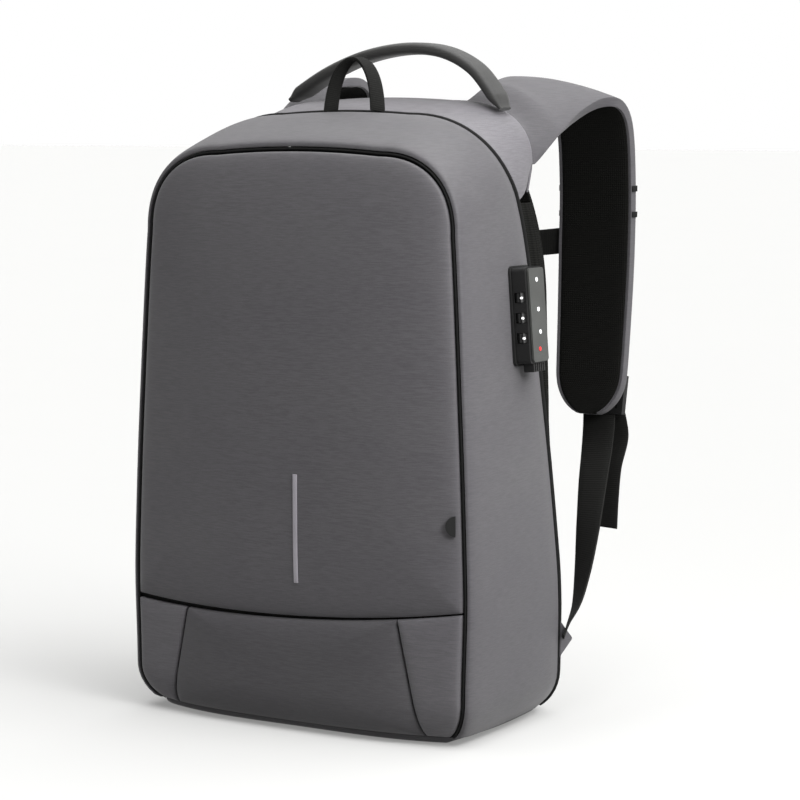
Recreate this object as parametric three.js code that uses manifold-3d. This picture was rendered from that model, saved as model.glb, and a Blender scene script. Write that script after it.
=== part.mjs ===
// A slim anti theft backpack standing on its base: cloth shell sewn from panels, padded back,
// shoulder straps with webbing, carry handle, and a three wheel combination lock on its side.
// Millimetres. +X is to the right seen from the front, the front faces -Y, +Z is up,
// and the origin is the centre of the flat base.
import * as THREE from 'three';
import { mergeVertices } from 'three/addons/utils/BufferGeometryUtils.js';
import Module from 'manifold-3d';

const wasm = await Module();
wasm.setup();

// Body
const BODY_HEIGHT = 454;
const BODY_WIDTH = 292;
const BODY_DEPTH = 140;
const SHELL_WALL = 2.4;
const SIDE_SWELL = 4.5;
const BASE_RADIUS = 33;
const BASE_SEAM_HEIGHT = 6;
const PIECE_GAP = 0.35;
const SEAM_CHANNEL = 3.9;
const PIPING_RADIUS = 1.1;

// Front
const FRONT_TOP_DROP = 38;
const FRONT_CORNER_RADIUS = 60;
const FRONT_LEAN = 5;
const FRONT_CROWN = 7;
const PANEL_PUFF = 4;
const PANEL_ROLL = 3.5;
const POCKET_LINE_HEIGHT = 84;
const POCKET_LINE_TILT = 5.5;
const POCKET_LINE_SMILE = 8;
const POCKET_LINE_GAP = 2.4;
const CORNER_SEAM_GAP = 1.2;
const CORNER_SEAM_TOP_X = 90;
const CORNER_SEAM_FOOT_X = 108;
const STRIP_LENGTH = 78;
const STRIP_WIDTH = 3.4;
const STRIP_THICKNESS = 0.6;
const STRIP_FOOT_HEIGHT = 109;
const STRIP_X = 10;
const CAP_HEIGHT = 158;
const CAP_RADIUS = 7;
const CAP_THICKNESS = 3.4;
const CAP_PROUD = 0.4;

// Main zip line, yoke and back
const ZIP_TOP_DROP = 12;
const ZIP_CORNER_WIDTH = 72;
const ZIP_CORNER_HEIGHT = 64;
const ZIP_TUCK = 3;
const ZIP_RECESS_WIDTH = 4;
const ZIP_TAPE_WIDTH = 5;
const ZIP_TAPE_THICKNESS = 1.1;
const BACK_PAD_THICKNESS = 10;
const BACK_CHANNEL_WIDTH = 34;
const BACK_CHANNEL_DEPTH = 5;
const BACK_TOP_DROP = 5;
const BACK_ARCH_WIDTH = 85;
const BACK_ARCH_HEIGHT = 150;
const BACK_FOOT_RADIUS = 32;
const BACK_FOOT_HEIGHT = 2;

// Handle and pull loop
const HANDLE_SPAN = 183;
const HANDLE_SHIFT = 7;
const HANDLE_SETBACK = 10;
const HANDLE_RISE = 31;
const HANDLE_WIDTH = 24;
const HANDLE_END_WIDTH = 16;
const HANDLE_THICKNESS = 9;
const LOOP_SPAN = 40;
const LOOP_RISE = 38;
const LOOP_X = 8;
const LOOP_WIDTH = 11;
const LOOP_THICKNESS = 2.2;

// Shoulder straps
const STRAP_WIDTH = 62;
const STRAP_REACH = 114;
const STRAP_SKIN = 2.4;
const STRAP_PAD = 6.5;
const STRAP_PAD_INSET = 2.6;
const STRAP_END_ROUND = 0.1;
const BAND_HEIGHT = 5;
const BAND_THICKNESS = 1;
const WEBBING_WIDTH = 27;
const WEBBING_THICKNESS = 1.6;
const LADDER_WIDTH = 40;
const LADDER_HEIGHT = 30;
const LADDER_THICKNESS = 6;
const LADDER_BAR = 4.5;
const TAB_FOOT_HEIGHT = 43;
const TAB_LENGTH = 27;
const TAB_REACH = 13;
const TAB_THICKNESS = 2.4;
const STERNUM_HEIGHT = 344;
const STERNUM_WIDTH = 20;
const STERNUM_SAG = 6;
const BUCKLE_LENGTH = 44;
const BUCKLE_WIDTH = 28;
const BUCKLE_THICKNESS = 9;

// Combination lock
const LOCK_HEIGHT = 68;
const LOCK_WIDTH = 25;
const LOCK_THICKNESS = 14.5;
const LOCK_BASE = 1.8;
const LOCK_CENTRE_HEIGHT = 298;
const LOCK_CENTRE_Y = 16;
const LOCK_LEAN_DEG = 4.5;
const LOCK_PLATE = 1.4;
const WHEEL_RADIUS = 4.6;
const WHEEL_PROUD = 1.2;
const WHEEL_THICKNESS = 6.4;
const WHEEL_PITCH = 14.3;
const WHEEL_SHARE_UP = -0.02;
const WHEEL_CLEARANCE = 0.4;
const AXLE_RADIUS = 1.2;
const WHEEL_RIBS = 10;
const SLIDE_HEIGHT = 6;
const SLIDE_TONGUE = 8;

const HALF_WIDTH = BODY_WIDTH / 2;
const FRONT_Y = -BODY_DEPTH / 2;
const BACK_Y = BODY_DEPTH / 2;
const FRONT_TOP = BODY_HEIGHT - FRONT_TOP_DROP;
const ZIP_TOP = BODY_HEIGHT - ZIP_TOP_DROP;
const BACK_TOP = BODY_HEIGHT - BACK_TOP_DROP;
const CORNER_POWER = 2 / 2.3;

// Side view of the shell by height: half widths as shares of half the body width at the front
// seam, the rear edge and the back frame, and the rear edge's place as a share of the depth.
const SIDE_ROWS = [
  { height: 0.00, front: 0.946, rear: 0.966, frame: 0.934, rearDepth: 0.968 },
  { height: 0.10, front: 0.949, rear: 0.973, frame: 0.934, rearDepth: 0.968 },
  { height: 0.22, front: 0.958, rear: 0.976, frame: 0.925, rearDepth: 0.950 },
  { height: 0.30, front: 0.952, rear: 0.966, frame: 0.915, rearDepth: 0.929 },
  { height: 0.43, front: 0.936, rear: 0.938, frame: 0.895, rearDepth: 0.900 },
  { height: 0.53, front: 0.920, rear: 0.918, frame: 0.888, rearDepth: 0.864 },
  { height: 0.66, front: 0.898, rear: 0.890, frame: 0.875, rearDepth: 0.821 },
  { height: 0.75, front: 0.881, rear: 0.870, frame: 0.865, rearDepth: 0.786 },
  { height: 0.83, front: 0.861, rear: 0.856, frame: 0.860, rearDepth: 0.715 },
  { height: 0.89, front: 0.845, rear: 0.848, frame: 0.860, rearDepth: 0.607 },
  { height: 0.95, front: 0.834, rear: 0.842, frame: 0.860, rearDepth: 0.514 },
  { height: 1.00, front: 0.830, rear: 0.840, frame: 0.860, rearDepth: 0.471 },
];

// Outlines of the yoke from the zip to the strap roots: depth share, lower end and top as shares
// of the body height, half width as a share, and the width of the rounded shoulder as a share.
const YOKE_ROWS = [
  { depth: 0.00, foot: 0.000, half: 0.000, top: 0.000, shoulder: 0.00 },
  { depth: 0.22, foot: 0.004, half: 0.000, top: 0.012, shoulder: 0.01 },
  { depth: 0.50, foot: 0.018, half: 0.006, top: 0.024, shoulder: 0.00 },
  { depth: 0.80, foot: 0.046, half: 0.016, top: 0.030, shoulder: -0.03 },
  { depth: 1.00, foot: 0.060, half: 0.020, top: 0.030, shoulder: -0.05 },
];

// Right shoulder strap from its root to the round end of its pad. x is a share of half the body
// width, reach a share of the strap reach behind the back, height a share of the body height,
// width a share of the strap width, roll the outward dip of the width, dome the arch across it.
const STRAP_ROWS = [
  { run: 0.10, x: 0.668, reach: 0.20, height: 0.981, width: 1.13, rollDeg: 31, dome: 0.17 },
  { run: 0.19, x: 0.682, reach: 0.43, height: 1.003, width: 1.05, rollDeg: 24, dome: 0.12 },
  { run: 0.27, x: 0.716, reach: 0.66, height: 1.012, width: 1.00, rollDeg: 14, dome: 0.08 },
  { run: 0.35, x: 0.754, reach: 0.84, height: 1.000, width: 1.00, rollDeg: 6, dome: 0.05 },
  { run: 0.42, x: 0.772, reach: 0.95, height: 0.955, width: 1.00, rollDeg: 0, dome: 0.03 },
  { run: 0.52, x: 0.774, reach: 1.00, height: 0.860, width: 1.00, rollDeg: 0, dome: 0.02 },
  { run: 0.66, x: 0.772, reach: 1.00, height: 0.740, width: 1.00, rollDeg: 0, dome: 0.02 },
  { run: 0.80, x: 0.777, reach: 0.96, height: 0.625, width: 0.97, rollDeg: 0, dome: 0.02 },
  { run: 0.92, x: 0.790, reach: 0.89, height: 0.525, width: 0.93, rollDeg: 0, dome: 0.02 },
  { run: 1.00, x: 0.798, reach: 0.84, height: 0.466, width: 0.88, rollDeg: 0, dome: 0.02 },
];

// Lower webbing from the ladder lock to the tab: x and height as shares of the half width and
// body height, reach as a share of the strap reach, and the turn of its width from +X.
const WEBBING_ROWS = [
  { x: 0.822, reach: 0.930, height: 0.459, turnDeg: 0, liftDeg: 0 },
  { x: 0.834, reach: 0.850, height: 0.415, turnDeg: -4, liftDeg: 1 },
  { x: 0.868, reach: 0.700, height: 0.355, turnDeg: -12, liftDeg: 3 },
  { x: 0.925, reach: 0.490, height: 0.285, turnDeg: -24, liftDeg: 6 },
  { x: 0.972, reach: 0.300, height: 0.220, turnDeg: -38, liftDeg: 10 },
  { x: 0.992, reach: 0.165, height: 0.172, turnDeg: -50, liftDeg: 15 },
  { x: 0.986, reach: 0.060, height: 0.142, turnDeg: -58, liftDeg: 20 },
];

const TAIL_ROWS = [
  { x: 0.850, reach: 1.000, height: 0.460, turnDeg: 0, liftDeg: 0 },
  { x: 0.858, reach: 1.010, height: 0.425, turnDeg: -4, liftDeg: 0 },
  { x: 0.852, reach: 0.955, height: 0.375, turnDeg: -10, liftDeg: 0 },
  { x: 0.862, reach: 0.895, height: 0.325, turnDeg: -12, liftDeg: 0 },
  { x: 0.878, reach: 0.840, height: 0.275, turnDeg: -14, liftDeg: 0 },
];

// Arch of the handle: place along the span and rise as shares; it leans to the right.
const HANDLE_ROWS = [
  { along: -0.50, rise: 0.00 },
  { along: -0.44, rise: 0.14 },
  { along: -0.30, rise: 0.52 },
  { along: -0.12, rise: 0.84 },
  { along: 0.08, rise: 1.00 },
  { along: 0.24, rise: 0.94 },
  { along: 0.37, rise: 0.62 },
  { along: 0.46, rise: 0.20 },
  { along: 0.50, rise: 0.00 },
];

const BAND_PLACES = [
  { name: 'upper', share: 0.53 },
  { name: 'lower', share: 0.58 },
];

const COLOURS = {
  front: 0x4a474c,
  side: 0x767578,
  top: 0x9e9da0,
  corner: 0x676769,
  pocket: 0x454446,
  black: 0x17171a,
  mesh: 0x121310,
  webbing: 0x222220,
  handle: 0x3c3b3a,
  strip: 0x67646a,
  lockGrey: 0x3a3a39,
  lockBlack: 0x131311,
};

const pack = new THREE.Group();

function point(x, y, z) {
  return new THREE.Vector3(x, y, z);
}

function addPiece(name, geometry, colour, roughness = 0.8, metalness = 0, parent = pack) {
  const material = new THREE.MeshStandardMaterial({ color: colour, roughness, metalness });
  const piece = new THREE.Mesh(geometry, material);
  piece.name = name;
  parent.add(piece);
  return piece;
}

// Smooth value of one column of a table, by cubic pieces between its rows
function tableValue(rows, key, column, at) {
  const last = rows.length - 1;
  if (at <= rows[0][key]) return rows[0][column];
  if (at >= rows[last][key]) return rows[last][column];
  let low = 0;
  while (rows[low + 1][key] < at) low += 1;
  const slope = (index) => {
    const before = rows[Math.max(index - 1, 0)];
    const after = rows[Math.min(index + 1, last)];
    return (after[column] - before[column]) / (after[key] - before[key]);
  };
  const span = rows[low + 1][key] - rows[low][key];
  const t = (at - rows[low][key]) / span;
  const s = 1 - t;
  return s * s * (1 + 2 * t) * rows[low][column]
    + t * t * (1 + 2 * s) * rows[low + 1][column]
    + s * s * t * span * slope(low)
    - t * t * s * span * slope(low + 1);
}

function sideValue(column, z) {
  return tableValue(SIDE_ROWS, 'height', column, z / BODY_HEIGHT);
}

// How far the rounded bottom edge lies inside the upright wall at a height
function bottomInset(z, radius = BASE_RADIUS) {
  if (z >= radius) return 0;
  return radius - Math.sqrt(radius * radius - (radius - z) ** 2);
}

function frontHalf(z) {
  return HALF_WIDTH * sideValue('front', z) - bottomInset(z);
}

function rearHalf(z) {
  return HALF_WIDTH * sideValue('rear', z) - bottomInset(z);
}

function frameHalf(z) {
  const foot = bottomInset(Math.max(z - BACK_FOOT_HEIGHT, 0), BACK_FOOT_RADIUS);
  return HALF_WIDTH * sideValue('frame', z) - foot;
}

function frontSeamY(z) {
  return FRONT_Y + FRONT_LEAN * (z / FRONT_TOP) ** 2 + 0.8 * bottomInset(z);
}

function rearEdgeY(z) {
  return FRONT_Y + BODY_DEPTH * sideValue('rearDepth', z) - 0.2 * bottomInset(z);
}

// Right half of an outline seen from the front: a side, a rounded shoulder and a crowned top
function halfOutline({ halfAt, foot, top, shoulderWidth, shoulderHeight, crown, steps }) {
  const points = [];
  const shoulderFoot = top - shoulderHeight;
  for (let i = 0; i < steps.side; i += 1) {
    const z = foot + (shoulderFoot - foot) * (i / steps.side) ** 1.4;
    points.push({ x: halfAt(z), z });
  }
  const half = halfAt(shoulderFoot);
  for (let i = 0; i <= steps.shoulder; i += 1) {
    const angle = (Math.PI / 2) * (i / steps.shoulder);
    const across = Math.max(Math.cos(angle), 0) ** CORNER_POWER;
    const up = Math.sin(angle) ** CORNER_POWER;
    points.push({
      x: half - shoulderWidth + shoulderWidth * across,
      z: shoulderFoot + (shoulderHeight - crown) * up,
    });
  }
  const flat = half - shoulderWidth;
  for (let i = 1; i <= steps.top; i += 1) {
    const x = flat * (1 - i / steps.top);
    points.push({ x, z: top - crown * (x / flat) ** 2 });
  }
  return points;
}

// The whole outline, from the right foot over the top to the left foot
function mirrored(half) {
  const left = half.slice(0, -1).reverse().map(({ x, z }) => ({ x: -x, z }));
  return [...half, ...left];
}

// Shifts each point of an outline along its own normal, outwards when the amount is positive
function shifted(outline, amount) {
  return outline.map((here, i) => {
    const before = outline[Math.max(i - 1, 0)];
    const after = outline[Math.min(i + 1, outline.length - 1)];
    const length = Math.hypot(after.x - before.x, after.z - before.z);
    return {
      x: here.x + (amount * (after.z - before.z)) / length,
      z: here.z - (amount * (after.x - before.x)) / length,
    };
  });
}

const SHELL_STEPS = { side: 10, shoulder: 7, top: 3 };
const frontOutline = mirrored(halfOutline({
  halfAt: frontHalf,
  foot: BASE_SEAM_HEIGHT,
  top: FRONT_TOP,
  shoulderWidth: FRONT_CORNER_RADIUS,
  shoulderHeight: FRONT_CORNER_RADIUS,
  crown: 3,
  steps: SHELL_STEPS,
}));
const rearOutline = mirrored(halfOutline({
  halfAt: rearHalf,
  foot: BASE_SEAM_HEIGHT,
  top: ZIP_TOP,
  shoulderWidth: ZIP_CORNER_WIDTH,
  shoulderHeight: ZIP_CORNER_HEIGHT,
  crown: 2,
  steps: SHELL_STEPS,
}));

// Closed solid from two grids of points that face each other, with its rim closed
function solidBetween(outer, inner, wrap = false) {
  const rows = outer.length;
  const columns = outer[0].length;
  const positions = [];
  const quad = (a, b, c, d) => {
    [[a, b, c], [a, c, d]].forEach((corners) => {
      corners.forEach((corner) => positions.push(corner.x, corner.y, corner.z));
    });
  };
  const lastColumn = wrap ? columns : columns - 1;
  for (let i = 0; i < rows - 1; i += 1) {
    for (let j = 0; j < lastColumn; j += 1) {
      const k = (j + 1) % columns;
      quad(outer[i][j], outer[i][k], outer[i + 1][k], outer[i + 1][j]);
      quad(inner[i][k], inner[i][j], inner[i + 1][j], inner[i + 1][k]);
    }
    if (!wrap) {
      quad(inner[i][0], outer[i][0], outer[i + 1][0], inner[i + 1][0]);
      quad(outer[i][lastColumn], inner[i][lastColumn], inner[i + 1][lastColumn], outer[i + 1][lastColumn]);
    }
  }
  for (let j = 0; j < lastColumn; j += 1) {
    const k = (j + 1) % columns;
    quad(outer[0][k], outer[0][j], inner[0][j], inner[0][k]);
    quad(outer[rows - 1][j], outer[rows - 1][k], inner[rows - 1][k], inner[rows - 1][j]);
  }
  return closed(positions);
}

// Merges shared corners, drops slivers without area and turns the faces outwards
function closed(positions) {
  const soup = new THREE.BufferGeometry();
  soup.setAttribute('position', new THREE.Float32BufferAttribute(positions, 3));
  const merged = mergeVertices(soup, 1e-3);
  const source = merged.index.array;
  const at = merged.attributes.position.array;
  const kept = [];
  let volume = 0;
  for (let i = 0; i < source.length; i += 3) {
    const [a, b, c] = [source[i], source[i + 1], source[i + 2]];
    if (a === b || b === c || c === a) continue;
    kept.push(a, b, c);
    const [p, q, r] = [a, b, c].map((v) => point(at[3 * v], at[3 * v + 1], at[3 * v + 2]));
    volume += p.dot(q.cross(r));
  }
  if (volume < 0) kept.reverse();
  merged.setIndex(kept);
  merged.computeVertexNormals();
  return merged;
}

// Unit normals of a grid of points, taken from its neighbours
function gridNormals(grid, wrap = false) {
  const rows = grid.length;
  const columns = grid[0].length;
  return grid.map((row, i) => row.map((unused, j) => {
    const down = grid[Math.min(i + 1, rows - 1)][j].clone().sub(grid[Math.max(i - 1, 0)][j]);
    const before = wrap ? (j + columns - 1) % columns : Math.max(j - 1, 0);
    const after = wrap ? (j + 1) % columns : Math.min(j + 1, columns - 1);
    const across = row[after].clone().sub(row[before]);
    return across.cross(down).normalize();
  }));
}

// A cloth wall: the grid is its outer face when its normals point out
function wallFrom(grid, thickness, lift = 0, flip = false) {
  const normals = gridNormals(grid);
  const side = flip ? -1 : 1;
  const face = (amount) => grid.map((row, i) => row.map((here, j) => (
    here.clone().addScaledVector(normals[i][j], side * amount))));
  return solidBetween(face(lift), face(lift - thickness));
}

// Front face without its panels' own puff, crowned across its width
function frontFaceY(x, z) {
  const share = Math.min(Math.abs(x) / frontHalf(Math.min(z, FRONT_TOP - FRONT_CORNER_RADIUS)), 1);
  const topFade = Math.min(1, (FRONT_TOP - z) / FRONT_CORNER_RADIUS);
  const crown = FRONT_CROWN * (1 - share ** 3) * (0.3 + 0.7 * Math.max(topFade, 0));
  return frontSeamY(z) - crown - 0.45 * bottomInset(z) * (1 - share ** 4);
}

// Puffed panel lofted from its outline to its middle, with its edge rolled into the seam
const PANEL_RINGS = [1, 0.98, 0.92, 0.7, 0.02];
function puffedPanel(outline, puff, roll, setBack = 0) {
  const middle = { x: 0, z: 0 };
  outline.forEach((corner) => {
    middle.x += corner.x / outline.length;
    middle.z += corner.z / outline.length;
  });
  const face = (extra) => PANEL_RINGS.map((ring) => outline.map((corner) => {
    const x = middle.x + (corner.x - middle.x) * ring;
    const z = middle.z + (corner.z - middle.z) * ring;
    const swell = puff * (1 - ring ** 4) + roll * Math.sqrt(Math.max(1 - ring ** 20, 0));
    const reach = Math.hypot(corner.x - middle.x, corner.z - middle.z);
    const inward = extra > 0 ? 1 - (extra * 0.6 * ring ** 12) / reach : 1;
    return point(
      middle.x + (x - middle.x) * inward,
      frontFaceY(x, z) - swell + setBack + extra,
      middle.z + (z - middle.z) * inward,
    );
  }));
  const outer = face(0);
  const inner = face(SHELL_WALL);
  const positions = [];
  const triangle = (a, b, c) => [a, b, c].forEach((p) => positions.push(p.x, p.y, p.z));
  const count = outline.length;
  const pushFace = (face, turned) => {
    for (let j = 0; j < count; j += 1) {
      const k = (j + 1) % count;
      for (let i = 0; i < PANEL_RINGS.length - 1; i += 1) {
        const [a, b, c, d] = [face[i][j], face[i][k], face[i + 1][k], face[i + 1][j]];
        if (turned) {
          triangle(a, c, b);
          triangle(a, d, c);
        } else {
          triangle(a, b, c);
          triangle(a, c, d);
        }
      }
      const hub = face[PANEL_RINGS.length - 1];
      const centre = hub.reduce((sum, p) => sum.add(p), point(0, 0, 0)).divideScalar(count);
      if (turned) triangle(hub[j], centre, hub[k]);
      else triangle(hub[j], hub[k], centre);
    }
  };
  pushFace(outer, false);
  pushFace(inner, true);
  for (let j = 0; j < count; j += 1) {
    const k = (j + 1) % count;
    triangle(outer[0][k], outer[0][j], inner[0][j]);
    triangle(outer[0][k], inner[0][j], inner[0][k]);
  }
  return closed(positions);
}

function pocketLine(x) {
  const share = x / frontHalf(POCKET_LINE_HEIGHT);
  return POCKET_LINE_HEIGHT + POCKET_LINE_TILT * share + POCKET_LINE_SMILE * share ** 2;
}

function pocketGap(x) {
  return POCKET_LINE_GAP * (1 - 0.5 * (x / HALF_WIDTH));
}

function cornerSeamX(z) {
  const share = z / POCKET_LINE_HEIGHT;
  return CORNER_SEAM_FOOT_X + (CORNER_SEAM_TOP_X - CORNER_SEAM_FOOT_X) * share;
}

// Straight or curved run of points between two values of x or z, both ends included
function run(from, to, count, place) {
  return Array.from({ length: count + 1 }, (unused, i) => place(from + ((to - from) * i) / count));
}

const panelEdge = shifted(frontOutline, -SEAM_CHANNEL / 2);

function panelHalf(z) {
  return frontHalf(z) - SEAM_CHANNEL / 2;
}

function upperPanelOutline() {
  const footRight = pocketLine(panelHalf(POCKET_LINE_HEIGHT));
  const footLeft = pocketLine(-panelHalf(POCKET_LINE_HEIGHT));
  const middle = (panelEdge.length - 1) / 2;
  const upper = panelEdge.filter(({ z }, i) => z > (i < middle ? footRight : footLeft) + 3);
  const foot = run(-panelHalf(footLeft), panelHalf(footRight), 12, (x) => ({ x, z: pocketLine(x) }));
  return [...upper, ...foot];
}

function lowerMiddleOutline() {
  const topZ = (x) => pocketLine(x) - pocketGap(x);
  const halfSeam = CORNER_SEAM_GAP / 2;
  const topX = CORNER_SEAM_TOP_X - halfSeam;
  const onLeft = (z) => ({ x: halfSeam - cornerSeamX(z), z });
  const onRight = (z) => ({ x: cornerSeamX(z) - halfSeam, z });
  const top = run(topX, -topX, 10, (x) => ({ x, z: topZ(x) }));
  const left = run(topZ(-CORNER_SEAM_TOP_X), BASE_SEAM_HEIGHT, 6, onLeft);
  const right = run(BASE_SEAM_HEIGHT, topZ(CORNER_SEAM_TOP_X), 6, onRight);
  const footX = cornerSeamX(BASE_SEAM_HEIGHT) - halfSeam;
  const foot = run(-footX, footX, 8, (x) => ({ x, z: BASE_SEAM_HEIGHT }));
  return [...top, ...left.slice(1, -1), ...foot, ...right.slice(1, -1)];
}

function cornerOutline(side) {
  const topZ = (x) => pocketLine(side * x) - pocketGap(side * x);
  const outerTopX = panelHalf(topZ(panelHalf(POCKET_LINE_HEIGHT)));
  const innerX = (z) => cornerSeamX(z) + CORNER_SEAM_GAP / 2;
  const outerTopZ = topZ(outerTopX);
  const innerTopZ = topZ(CORNER_SEAM_TOP_X);
  const corners = [
    ...run(innerX(innerTopZ), outerTopX, 4, (x) => ({ x, z: topZ(x) })),
    ...run(outerTopZ, BASE_SEAM_HEIGHT, 8, (z) => ({ x: panelHalf(z), z })).slice(1),
    ...run(panelHalf(BASE_SEAM_HEIGHT), innerX(BASE_SEAM_HEIGHT), 2, (x) => ({ x, z: BASE_SEAM_HEIGHT })).slice(1),
    ...run(BASE_SEAM_HEIGHT, innerTopZ, 6, (z) => ({ x: innerX(z), z })).slice(1, -1),
  ];
  return corners.map(({ x, z }) => ({ x: side * x, z }));
}

// Solid of a closed mesh for cutting, and the mesh of a solid
function solidOf(geometry) {
  const bare = geometry.clone();
  const others = Object.keys(bare.attributes).filter((name) => name !== 'position');
  others.forEach((name) => bare.deleteAttribute(name));
  const merged = mergeVertices(bare, 1e-4);
  return new wasm.Manifold(new wasm.Mesh({
    numProp: 3,
    vertProperties: new Float32Array(merged.attributes.position.array),
    triVerts: new Uint32Array(merged.index.array),
  }));
}

function geometryOf(solid) {
  const mesh = solid.getMesh();
  const geometry = new THREE.BufferGeometry();
  geometry.setAttribute('position', new THREE.BufferAttribute(new Float32Array(mesh.vertProperties), 3));
  geometry.setIndex(new THREE.BufferAttribute(new Uint32Array(mesh.triVerts), 1));
  geometry.computeVertexNormals();
  return geometry;
}

function boxAt(width, depth, height, x, y, z) {
  return new THREE.BoxGeometry(width, depth, height).translate(x, y, z);
}

// Upright cylinder about a line parallel to Z
function pillar(radius, height, sides, x, y, z) {
  return new THREE.CylinderGeometry(radius, radius, height, sides).rotateX(Math.PI / 2).translate(x, y, z);
}

// Half round disc for the cable port, standing on the panel with its straight side on the seam
function portShape(radius) {
  const shape = new THREE.Shape();
  shape.moveTo(0, -radius);
  shape.lineTo(0, radius);
  shape.absarc(0, 0, radius, Math.PI / 2, Math.PI * 1.5, false);
  return shape;
}

const PORT_TURN_DEG = 28;
function portSolid(radius, depth, outset) {
  const options = { depth, bevelEnabled: false, curveSegments: 10 };
  const geometry = new THREE.ExtrudeGeometry(portShape(radius), options);
  const x = panelHalf(CAP_HEIGHT) - PANEL_ROLL / 2;
  const face = frontFaceY(x - PANEL_ROLL, CAP_HEIGHT) - PANEL_ROLL;
  geometry.rotateX(Math.PI / 2);
  geometry.translate(0, depth - outset, 0);
  geometry.rotateZ(THREE.MathUtils.degToRad(PORT_TURN_DEG));
  return geometry.translate(x, face, CAP_HEIGHT);
}

function addFront() {
  const upper = solidOf(puffedPanel(upperPanelOutline(), PANEL_PUFF, PANEL_ROLL));
  const hole = solidOf(portSolid(CAP_RADIUS + PIECE_GAP, 5 * CAP_THICKNESS, 2 * CAP_THICKNESS));
  addPiece('front_panel', geometryOf(upper.subtract(hole)), COLOURS.front, 0.62);
  addPiece('port_cap', portSolid(CAP_RADIUS, CAP_THICKNESS, CAP_PROUD), COLOURS.black, 0.7);
  const pocketPanel = puffedPanel(lowerMiddleOutline(), PANEL_PUFF, PANEL_ROLL * 0.7);
  addPiece('lower_pocket_panel', pocketPanel, COLOURS.pocket, 0.62);
  [['right', 1], ['left', -1]].forEach(([name, side]) => {
    const panel = puffedPanel(cornerOutline(side), PANEL_PUFF * 0.3, PANEL_ROLL * 0.6);
    addPiece(`corner_panel_${name}`, panel, COLOURS.corner, 0.62);
  });

  const stripGrid = run(STRIP_FOOT_HEIGHT, STRIP_FOOT_HEIGHT + STRIP_LENGTH, 8, (z) => (
    [STRIP_X - STRIP_WIDTH / 2, STRIP_X + STRIP_WIDTH / 2].map((x) => (
      point(x, upperPanelFaceY(x, z) - PIECE_GAP - STRIP_THICKNESS, z)))));
  const stripBack = stripGrid.map((row) => row.map((p) => p.clone().add(point(0, STRIP_THICKNESS, 0))));
  addPiece('reflective_strip', solidBetween(stripGrid, stripBack), COLOURS.strip, 0.4);

  const pipingLine = shifted(frontOutline, PIPING_RADIUS * 0.15);
  const pipingRoute = pipingLine.map(({ x, z }) => point(x, frontSeamY(z) + 0.6, z));
  const lastPoint = pipingRoute.length - 1;
  pipingRoute[0].lerp(pipingRoute[1], 0.8);
  pipingRoute[lastPoint].lerp(pipingRoute[lastPoint - 1], 0.8);
  const route = new THREE.CatmullRomCurve3(pipingRoute, false, 'centripetal');
  addPiece('front_piping', tube(route, PIPING_RADIUS, 54, 5), COLOURS.black, 0.7);
}

// Outer face of the upper panel at a place, from the same loft as the panel
function upperPanelFaceY(x, z) {
  const outline = upperPanelOutline();
  const middle = { x: 0, z: 0 };
  outline.forEach((corner) => {
    middle.x += corner.x / outline.length;
    middle.z += corner.z / outline.length;
  });
  const footSpan = middle.z - pocketLine(x);
  const ring = Math.min(Math.abs(middle.z - z) / footSpan, 0.98);
  return frontFaceY(x, z) - PANEL_PUFF * (1 - ring ** 4) - PANEL_ROLL * Math.sqrt(1 - ring ** 20);
}

function tube(route, radius, steps, sides) {
  const section = new THREE.Shape();
  for (let i = 0; i < sides; i += 1) {
    const angle = (2 * Math.PI * i) / sides;
    const [x, y] = [radius * Math.cos(angle), radius * Math.sin(angle)];
    if (i === 0) section.moveTo(x, y);
    else section.lineTo(x, y);
  }
  section.closePath();
  return new THREE.ExtrudeGeometry(section, { steps, bevelEnabled: false, extrudePath: route });
}

// Side and top wall between the front seam and the main zip, swelling outwards
const GUSSET_ROWS = [
  { share: 0.000, out: 0.00 },
  { share: 0.006, out: 0.42 },
  { share: 0.035, out: 0.72 },
  { share: 0.120, out: 0.90 },
  { share: 0.340, out: 1.00 },
  { share: 0.650, out: 0.95 },
  { share: 0.880, out: 0.55 },
  { share: 1.000, out: 0.00 },
];

function gussetGrid() {
  const start = shifted(frontOutline, SEAM_CHANNEL / 2);
  return GUSSET_ROWS.map(({ share, out }) => {
    const flat = start.map((from, i) => ({
      x: from.x + (rearOutline[i].x - from.x) * share,
      z: from.z + (rearOutline[i].z - from.z) * share,
    }));
    return shifted(flat, SIDE_SWELL * out).map(({ x, z }, i) => {
      const fromY = frontSeamY(frontOutline[i].z);
      const y = fromY + (rearEdgeY(rearOutline[i].z) - fromY) * share;
      return point(x, y, Math.max(z, BASE_SEAM_HEIGHT));
    });
  });
}

function addGusset() {
  addPiece('side_gusset', wallFrom(gussetGrid(), SHELL_WALL, 0, true), COLOURS.side, 0.62);
  const tapeOutline = shifted(rearOutline, -ZIP_TUCK - 0.2);
  const tapeGrid = [-0.6, 0.4].map((side) => tapeOutline.map(({ x, z }, i) => (
    point(x, Math.min(rearEdgeY(rearOutline[i].z), BACK_Y - 6) + side * ZIP_TAPE_WIDTH, z))));
  addPiece('main_zip_tape', wallFrom(tapeGrid, ZIP_TAPE_THICKNESS, 0, true), COLOURS.black, 0.75);
}

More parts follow.
